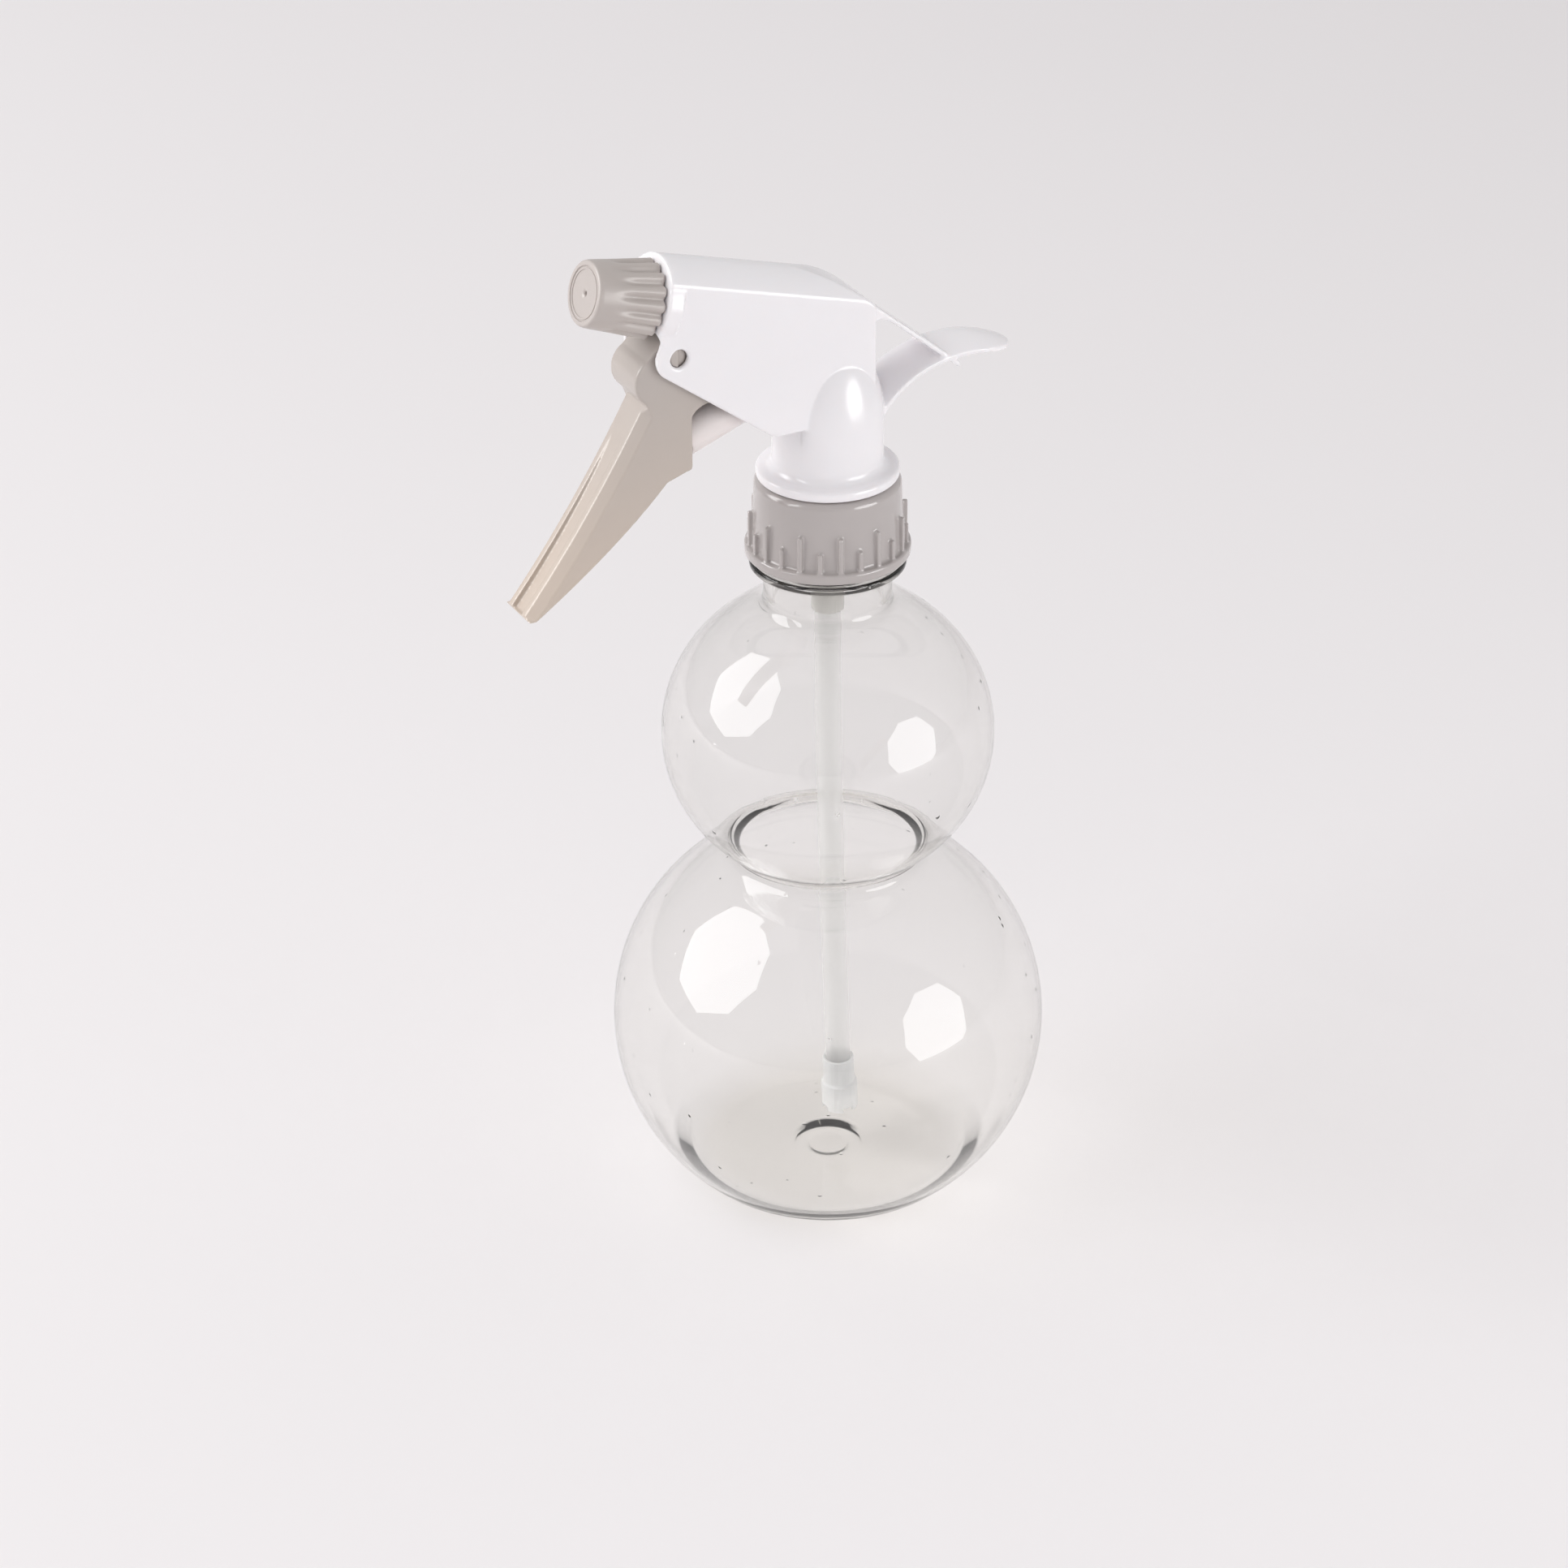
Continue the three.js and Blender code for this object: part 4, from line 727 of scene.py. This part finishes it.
def makeShroud():
    size = shroudSizes
    front = size["reach"] - size["capLength"] - size["gap"]
    body = common(sideSlab(panelOutline(0), size["half"]), roofPrism(0))
    ring = rod(size["bezel"], front - size["bezelLength"], front, 128, alongBarrel)
    cut(ring, block(size["bezelHang"], 20, -20, 20, 0, front + 1, alongBarrel))
    joined(body, ring, domedNeck(0, size["flangeHeight"]), makeFlange(), makeStrap(), makeTail())
    start, bend, _, fall = crestLine()
    wall = size["wall"]
    back = -size["back"] + wall
    hollow = [(back, size["neckHeight"] - 2), (size["neck"] - 2, size["neckHeight"] - 2),
              (size["neck"] - 2, size["foot"] + wall), (size["neck"] + 1, size["foot"] + wall),
              (size["neck"] + 2, size["foot"] - 3), (60, size["foot"] - 3),
              (60, size["noseRise"] + pivot.z - headFoot - 8), barrelPoint(front + 8, -size["bezelHang"]),
              barrelPoint(front - size["bezelWall"], -size["bezelHang"]),
              barrelPoint(front - size["bezelWall"], size["crest"] - wall)]
    end = (back, crestLine()[2][1] + fall * wall - 1.5 * wall)
    hollow += curve((start[0], start[1] - wall), (bend[0], bend[1] - wall - 0.2), end, 24)
    room = common(sideSlab(hollow, size["half"] - wall), roofPrism(wall))
    noseHole = rod(size["noseHole"], front - 2 * size["bezelWall"], front + 1, 64, alongBarrel)
    pinHole = rod(size["pinHole"], -2 * size["half"], 2 * size["half"], 48,
                  Matrix.Translation(pivot) @ Matrix.Rotation(math.pi / 2, 4, "X"))
    cut(body, room, domedNeck(wall, -1), noseHole, pinHole)
    return moulded(body, size["grain"], 6)


finished(makeShroud(), "strappedShroud", "head", ["shroud"], skins["white_shroud"])


# Trigger: a bowed lever with a rolled lobe, chamfered front and a shallow channel down its face.

triggerSizes = {
    "half": 5.5, "wall": 1.2, "front": 1.7, "shoulder": 6.0, "pin": 1.8, "pinReach": 7.0,
    "lobe": 5.3, "lobeForward": 3.4, "lobeDrop": 4.7, "lug": 4.2, "lugDrop": 6.0,
    "top": (6.1, -9.9), "tip": (33.1, -50.3), "bow": 1.3, "tipWidth": 1.8,
    "cornerBack": 3.5, "cornerDrop": 25.3, "cornerRise": 12.6, "armBack": 7.4, "armDrop": 11.6,
    "mid": (12.4, -37.8), "knee": (2.1, -26.8), "channelHalf": 2.1, "channel": 0.55, "chamfer": 1.9,
    "bar": 1.6, "barGap": 0.3, "grain": 0.24,
}


def triggerFront(inset):
    top, tip, bow = triggerSizes["top"], triggerSizes["tip"], triggerSizes["bow"]
    return ((top[0] + tip[0]) / 2 - bow - inset, (top[1] + tip[1]) / 2 - bow)


def triggerOutline():
    size = triggerSizes
    top, tip, knee = size["top"], size["tip"], size["knee"]
    edge = 0.9
    lobeTurn = 0.95
    corner = (-size["cornerBack"], -size["cornerDrop"])
    points = curve((-size["armBack"], -size["armDrop"]), (-size["cornerBack"] - 0.6, -size["armDrop"] - 0.6),
                   (corner[0], corner[1] + size["cornerRise"] - 1.5), 6)
    points += curve((corner[0], corner[1] + edge), corner, (corner[0] + edge, corner[1]), 5)
    points += curve(knee, size["mid"], (tip[0] - size["tipWidth"], tip[1]), 30)
    points += curve((tip[0] - edge / 2, tip[1]), (tip[0], tip[1]), (tip[0], tip[1] + edge), 4)
    points += curve((tip[0], tip[1] + edge), triggerFront(0), top, 30)[1:]
    points += arc((size["lobeForward"], -size["lobeDrop"]), size["lobe"], -lobeTurn, math.pi / 3, 24)
    points += arc((0, 0), size["lug"], math.pi / 4, math.pi, 18)
    points += [(-size["lug"], -size["lugDrop"])]
    return points


def makeTrigger():
    size = triggerSizes
    top, tip, wall = size["top"], size["tip"], size["front"]
    inner = size["half"] - size["wall"]
    bm = slab(triggerOutline(), -size["half"], size["half"])

    def onFront(vert):
        # the blade's front run, from under the lobe down to the tip
        if vert.co.z > top[1] + 0.2 or vert.co.z < tip[1] + 0.5:
            return False
        line = tip[0] + (top[0] - tip[0]) * (vert.co.z - tip[1]) / (top[1] - tip[1])
        return vert.co.x > line - 2.6

    chamfered = [edge for edge in bm.edges
                 if all(onFront(vert) for vert in edge.verts)
                 and abs(edge.verts[0].co.y - edge.verts[1].co.y) < 0.01]
    bmesh.ops.bevel(bm, geom=chamfered, offset=size["chamfer"], offset_type="OFFSET", segments=1,
                    affect="EDGES", profile=0.5, material=-1)
    body = objectFrom(bm)
    hollow = [(-20, top[1]), (-20, 2 * tip[1]), (tip[0] - 3 * wall, 2 * tip[1])]
    deep = triggerFront(wall)
    hollow += curve((tip[0] - 3 * wall, tip[1] + 2.4 * wall), (deep[0] - wall / 3, deep[1]),
                    (top[0] - 1.2 * wall, top[1]), 24)
    cut(body, objectFrom(slab(hollow, -inner, inner)))
    sideways = Matrix.Rotation(math.pi / 2, 4, "X")
    boss = rod(0.8 * size["lug"], -size["shoulder"], size["shoulder"], 64, sideways)
    pin = rod(size["pin"], -size["pinReach"], size["pinReach"], 48, sideways)
    stemTip = pumpFront() - pivot - pumpAxis * (pistonSizes["stemLength"] + size["barGap"] + size["bar"])
    bar = rod(size["bar"], -inner - 0.2, inner + 0.2, 48, Matrix.Translation(stemTip) @ sideways)
    joined(body, boss, pin, bar)
    channelTop = (top[0] + 0.13 * (tip[0] - top[0]), top[1] + 0.16 * (tip[1] - top[1]))
    line = curve((channelTop[0] - 0.2, channelTop[1] + 1.0), triggerFront(size["channel"] + 0.35),
                 (tip[0] - 0.9, tip[1] + 0.4), 24)
    channel = [(channelTop[0] + 5, channelTop[1] + 3)] + line + [(tip[0] + 6, tip[1] + 0.4)]
    cut(body, objectFrom(slab(channel, -size["channelHalf"], size["channelHalf"])))
    for side in (-1, 1):
        near, far = sorted((side * (size["shoulder"] + 0.3), side * (size["pinReach"] + 1)))
        cut(body, block(-2 * size["pin"], 0, near, far, -3, 3))
    body.data.transform(Matrix.Translation(pivot))
    return moulded(body, size["grain"], 3)


def pumpFront():
    # the middle of the piston's front face, on the pump's axis
    low, high = lowOf("piston"), highOf("piston")
    stem = pistonSizes["stem"]
    tip = Vector((high.x - stem * abs(pumpAxis.z), 0, low.z + stem * abs(pumpAxis.x)))
    return tip + pumpAxis * pistonSizes["stemLength"]


pistonSizes = {"radius": 4.2, "bore": 3.35, "length": 19.5, "face": 1.5, "stem": 2.5, "stemLength": 3.4,
               "groove": 3.8, "grooveStart": 17.0, "edge": 0.35}

finished(makeTrigger(), "bowedTrigger", "trigger_body", ["trigger"],
         skins["warm_grey_trigger"])


# Nozzle cap: fluted cone with a rimmed face, a thin raised ring and the spray hole.

capSizes = {
    "front": 6.5, "rear": 7.95, "length": 14.0, "bore": 5.3, "frontWall": 2.2, "edge": 0.55,
    "flutes": 15, "fluteStart": 3.0, "fluteDepth": 0.85, "rim": 0.5, "sink": 0.25,
    "ring": 4.7, "ringWidth": 0.3, "ringRise": 0.18, "hole": 0.45, "dimple": 1.0, "dimpleDepth": 0.35,
    "sleeve": 2.6, "sleeveBore": 1.9, "sleeveLength": 6.3, "stepsPerFlute": 16,
    "sharpAngle": 50,
}


def makeCap():
    size = capSizes
    edge, face = size["edge"], size["front"] - size["edge"]
    back = -size["length"]
    profile = [(size["bore"], back), (size["rear"] - 0.3, back), (size["rear"], back + 0.3)]
    for i in range(1, 40):
        z = back + 0.3 + (size["length"] - edge - 0.3) * i / 40
        profile.append((size["front"] + (size["rear"] - size["front"]) * -z / size["length"], z))
    profile += arc((face, -edge), edge, 0, math.pi / 2, 6)
    profile += [(face - size["rim"], 0), (face - size["rim"] - 0.12, -size["sink"])]
    ringOut = size["ring"] + size["ringWidth"]
    profile += [(ringOut + 0.08, -size["sink"]), (ringOut, -size["sink"] + size["ringRise"]),
                (size["ring"], -size["sink"] + size["ringRise"]), (size["ring"] - 0.08, -size["sink"])]
    profile += curve((size["dimple"] + 0.4, -size["sink"]), (size["dimple"] - 0.2, -size["sink"]),
                     (size["hole"], -size["sink"] - size["dimpleDepth"]), 6)
    profile += [(size["hole"], -size["frontWall"]), (size["sleeveBore"], -size["frontWall"]),
                (size["sleeveBore"], -size["frontWall"] - size["sleeveLength"]),
                (size["sleeve"], -size["frontWall"] - size["sleeveLength"]),
                (size["sleeve"], -size["frontWall"]), (size["bore"], -size["frontWall"])]
    piece = turned(profile, size["flutes"] * size["stepsPerFlute"])
    for vert in piece.data.vertices:
        radius = math.hypot(vert.co.x, vert.co.y)
        run = -vert.co.z - size["fluteStart"]
        if run <= 0 or radius < size["bore"] + 0.4:
            continue
        angle = math.atan2(vert.co.y, vert.co.x)
        wave = (0.5 - 0.5 * math.cos(size["flutes"] * angle)) ** 1.6
        ease = min(1.0, run / 6.0)
        ease = ease * ease * (3 - 2 * ease)
        inward = size["fluteDepth"] * wave * ease
        vert.co.x *= (radius - inward) / radius
        vert.co.y *= (radius - inward) / radius
    piece.data.transform(turnedTo(sprayAxis, capFace))
    return piece


finished(makeCap(), "flutedNozzleCap", "nozzle_body", ["nozzle_cap"],
         skins["warm_grey_nozzle"], capSizes["sharpAngle"])


# Piston with its stem.

def makePiston():
    size = pistonSizes
    edge = size["edge"]
    profile = [(0, -size["stemLength"])]
    profile += arc((size["stem"] - edge, -size["stemLength"] + edge), edge, -math.pi / 2, 0, 4)
    profile += [(size["stem"], -0.2), (size["stem"] + 0.2, 0)]
    profile += arc((size["radius"] - edge, edge), edge, -math.pi / 2, 0, 4)
    profile += [(size["radius"], size["grooveStart"]), (size["groove"], size["grooveStart"]),
                (size["groove"], size["length"]), (size["bore"], size["length"]),
                (size["bore"], size["face"]), (0, size["face"])]
    return turned(profile, 96, turnedTo(pumpAxis, pumpFront()))


finished(makePiston(), "pumpPiston", "piston_body", ["piston"], skins["natural_piston"], 40)


# Pump body and the small parts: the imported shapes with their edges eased.

def easedCopy(node, name, body, slot, grain, rounds, skin=None):
    source = frame["nodes"][node].data.copy()
    source.transform(Matrix.Scale(1 / metre, 4))
    piece = newObject(name, source)
    bm = bmesh.new()
    bm.from_mesh(source)
    bmesh.ops.remove_doubles(bm, verts=bm.verts, dist=1e-3)
    bm.to_mesh(source)
    bm.free()
    moulded(piece, grain, rounds)
    return finished(piece, name, body, [node], skin or skins[slot])


easedCopy("pump_body", "pumpHousing", "head", "white_body", 0.3, 3)
easedCopy("foot_strainer", "footStrainer", "head", "milky_tube", 0.15, 2, skins["strainer"])
easedCopy("tube_retainer", "tubeRetainer", "head", "milky_tube", 0.2, 2, skins["retainer"])


# Dip tube: hangs straight, then drifts a little towards the back of the bottle.

tubeSizes = {"radius": 2.7, "bore": 2.0, "drift": 2.4, "driftTurn": 152, "grip": 21.0, "steps": 60}


def makeDipTube():
    size = tubeSizes
    low, high = lowOf("dip_tube").z, highOf("dip_tube").z
    turn = math.radians(size["driftTurn"])
    bend = high - size["grip"]
    foot = Vector((size["drift"] * math.cos(turn), size["drift"] * math.sin(turn), low))
    points = [Vector((0, 0, high - size["grip"] * i / 8)) for i in range(8)]
    third = bend - (high - low) / 3
    for i in range(size["steps"] + 1):
        t = i / size["steps"]
        hang = Vector((0, 0, bend)) * (1 - t) ** 2 + Vector((0, 0, third)) * 2 * t * (1 - t) + foot * t * t
        points.append(hang)
    outer = wireAlong(points, size["radius"], 8)
    longer = [points[0] + Vector((0, 0, 1))] + points[1:-1] + [points[-1] + (points[-1] - points[-2])]
    return cut(outer, wireAlong(longer, size["bore"], 8))


finished(makeDipTube(), "dipTube", "head", ["dip_tube"], skins["milky_tube"], 40)


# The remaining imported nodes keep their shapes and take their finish.
slotOf = {part["node"]: part["material_slot"] for part in frame["record"]["subparts"]}
stoodFor = {"bottle", "collar", "shroud", "trigger", "nozzle_cap", "piston", "pump_body", "foot_strainer",
            "tube_retainer", "dip_tube"}
for name, node in frame["nodes"].items():
    if name in stoodFor:
        continue
    node.data.materials.clear()
    node.data.materials.append(skins[slotOf[name]])
    for face in node.data.polygons:
        face.material_index = 0
print("packed nodes finished")


# Stage: pale floor, two octagonal softboxes and the camera.

stageSizes = {
    "floor": 6.0, "floorDrop": 0.0004, "floorColour": (0.875, 0.852, 0.860),
    "worldColour": (1.0, 0.985, 0.99), "worldLight": 0.56, "cardLight": 6.0,
    "boxes": [
        {"name": "leftSoftbox", "turn": -19, "rise": 34, "distance": 2.4, "radius": 1.2, "power": 45.0},
        {"name": "rightSoftbox", "turn": 121, "rise": 9, "distance": 1.0, "radius": 0.36, "power": 3.4},
    ],
}
cameraSizes = {"place": (0.3995, 0.7316, 0.5614), "turn": 151.993, "fall": 29.406, "roll": -0.339,
               "lens": 105.0}


def stageSkin(name, colour, light=0.0):
    skin, nodes, links = blankSkin(name)
    output = nodes.new("ShaderNodeOutputMaterial")
    if light:
        shader = nodes.new("ShaderNodeEmission")
        shader.inputs["Color"].default_value = (*colour, 1)
        shader.inputs["Strength"].default_value = light
        links.new(shader.outputs["Emission"], output.inputs["Surface"])
        return skin
    shader = nodes.new("ShaderNodeBsdfPrincipled")
    shader.inputs["Roughness"].default_value = 0.9
    shader.inputs["Specular IOR Level"].default_value = 0.1
    _, ramp = shadeNodes(nodes, links, 2.0, (*[part * 0.985 for part in colour], 1), (*colour, 1))
    links.new(ramp.outputs["Color"], shader.inputs["Base Color"])
    links.new(shader.outputs["BSDF"], output.inputs["Surface"])
    return skin


def makeFloor():
    bm = bmesh.new()
    bmesh.ops.create_grid(bm, x_segments=1, y_segments=1, size=stageSizes["floor"])
    bmesh.ops.translate(bm, verts=bm.verts, vec=(0, 0, -stageSizes["floorDrop"]))
    floor = objectFrom(bm, "floor")
    floor.data.materials.append(stageSkin("paleFloor", stageSizes["floorColour"]))


def makeSoftbox(box):
    # an area light, with a card just behind it for glossy faces to mirror
    turn, rise = math.radians(box["turn"]), math.radians(box["rise"])
    toward = Vector((math.cos(rise) * math.cos(turn), math.cos(rise) * math.sin(turn), math.sin(rise)))
    place = Vector((0, 0, 0.08)) + toward * box["distance"]
    facing = Matrix.Translation(place) @ toward.to_track_quat("Z", "Y").to_matrix().to_4x4()
    data = bpy.data.lights.new(box["name"] + "Lamp", "AREA")
    data.shape = "DISK"
    data.size = 2 * box["radius"]
    data.energy = box["power"]
    lamp = newObject(box["name"] + "Lamp", data)
    lamp.matrix_world = facing
    lamp.visible_camera = False
    lamp.visible_glossy = False
    lamp.visible_transmission = False
    bm = bmesh.new()
    bmesh.ops.create_circle(bm, cap_ends=True, segments=8, radius=box["radius"])
    bm.transform(Matrix.Translation(toward * 0.01) @ facing @ Matrix.Rotation(math.radians(11), 4, "Z"))
    card = objectFrom(bm, box["name"] + "Card")
    card.data.materials.append(stageSkin(box["name"] + "Card", (1, 1, 1), stageSizes["cardLight"]))
    card.visible_camera = False
    card.visible_diffuse = False
    card.visible_transmission = False
    card.visible_shadow = False


def makeCamera():
    size = cameraSizes
    turn, fall = math.radians(size["turn"]), math.radians(size["fall"])
    away = Vector((math.sin(turn) * math.cos(fall), -math.cos(turn) * math.cos(fall), math.sin(fall)))
    right = up.cross(away).normalized()
    above = away.cross(right)
    basis = Matrix((right, above, away)).transposed().to_4x4()
    data = bpy.data.cameras.new("camera")
    data.lens = size["lens"]
    data.sensor_width = 36.0
    camera = bpy.data.objects.new("camera", data)
    camera.matrix_world = Matrix.Translation(size["place"]) @ basis @ Matrix.Rotation(
        math.radians(size["roll"]), 4, "Z")
    bpy.context.scene.collection.objects.link(camera)
    bpy.context.scene.camera = camera


def makeWorld():
    world = bpy.data.worlds.new("studio")
    world.use_nodes = True
    sky = world.node_tree.nodes["Background"]
    sky.inputs["Color"].default_value = (*stageSizes["worldColour"], 1)
    sky.inputs["Strength"].default_value = stageSizes["worldLight"]
    bpy.context.scene.world = world
    bpy.context.scene.view_settings.view_transform = "Standard"


makeFloor()
for box in stageSizes["boxes"]:
    makeSoftbox(box)
makeCamera()
makeWorld()
print("stage ready")
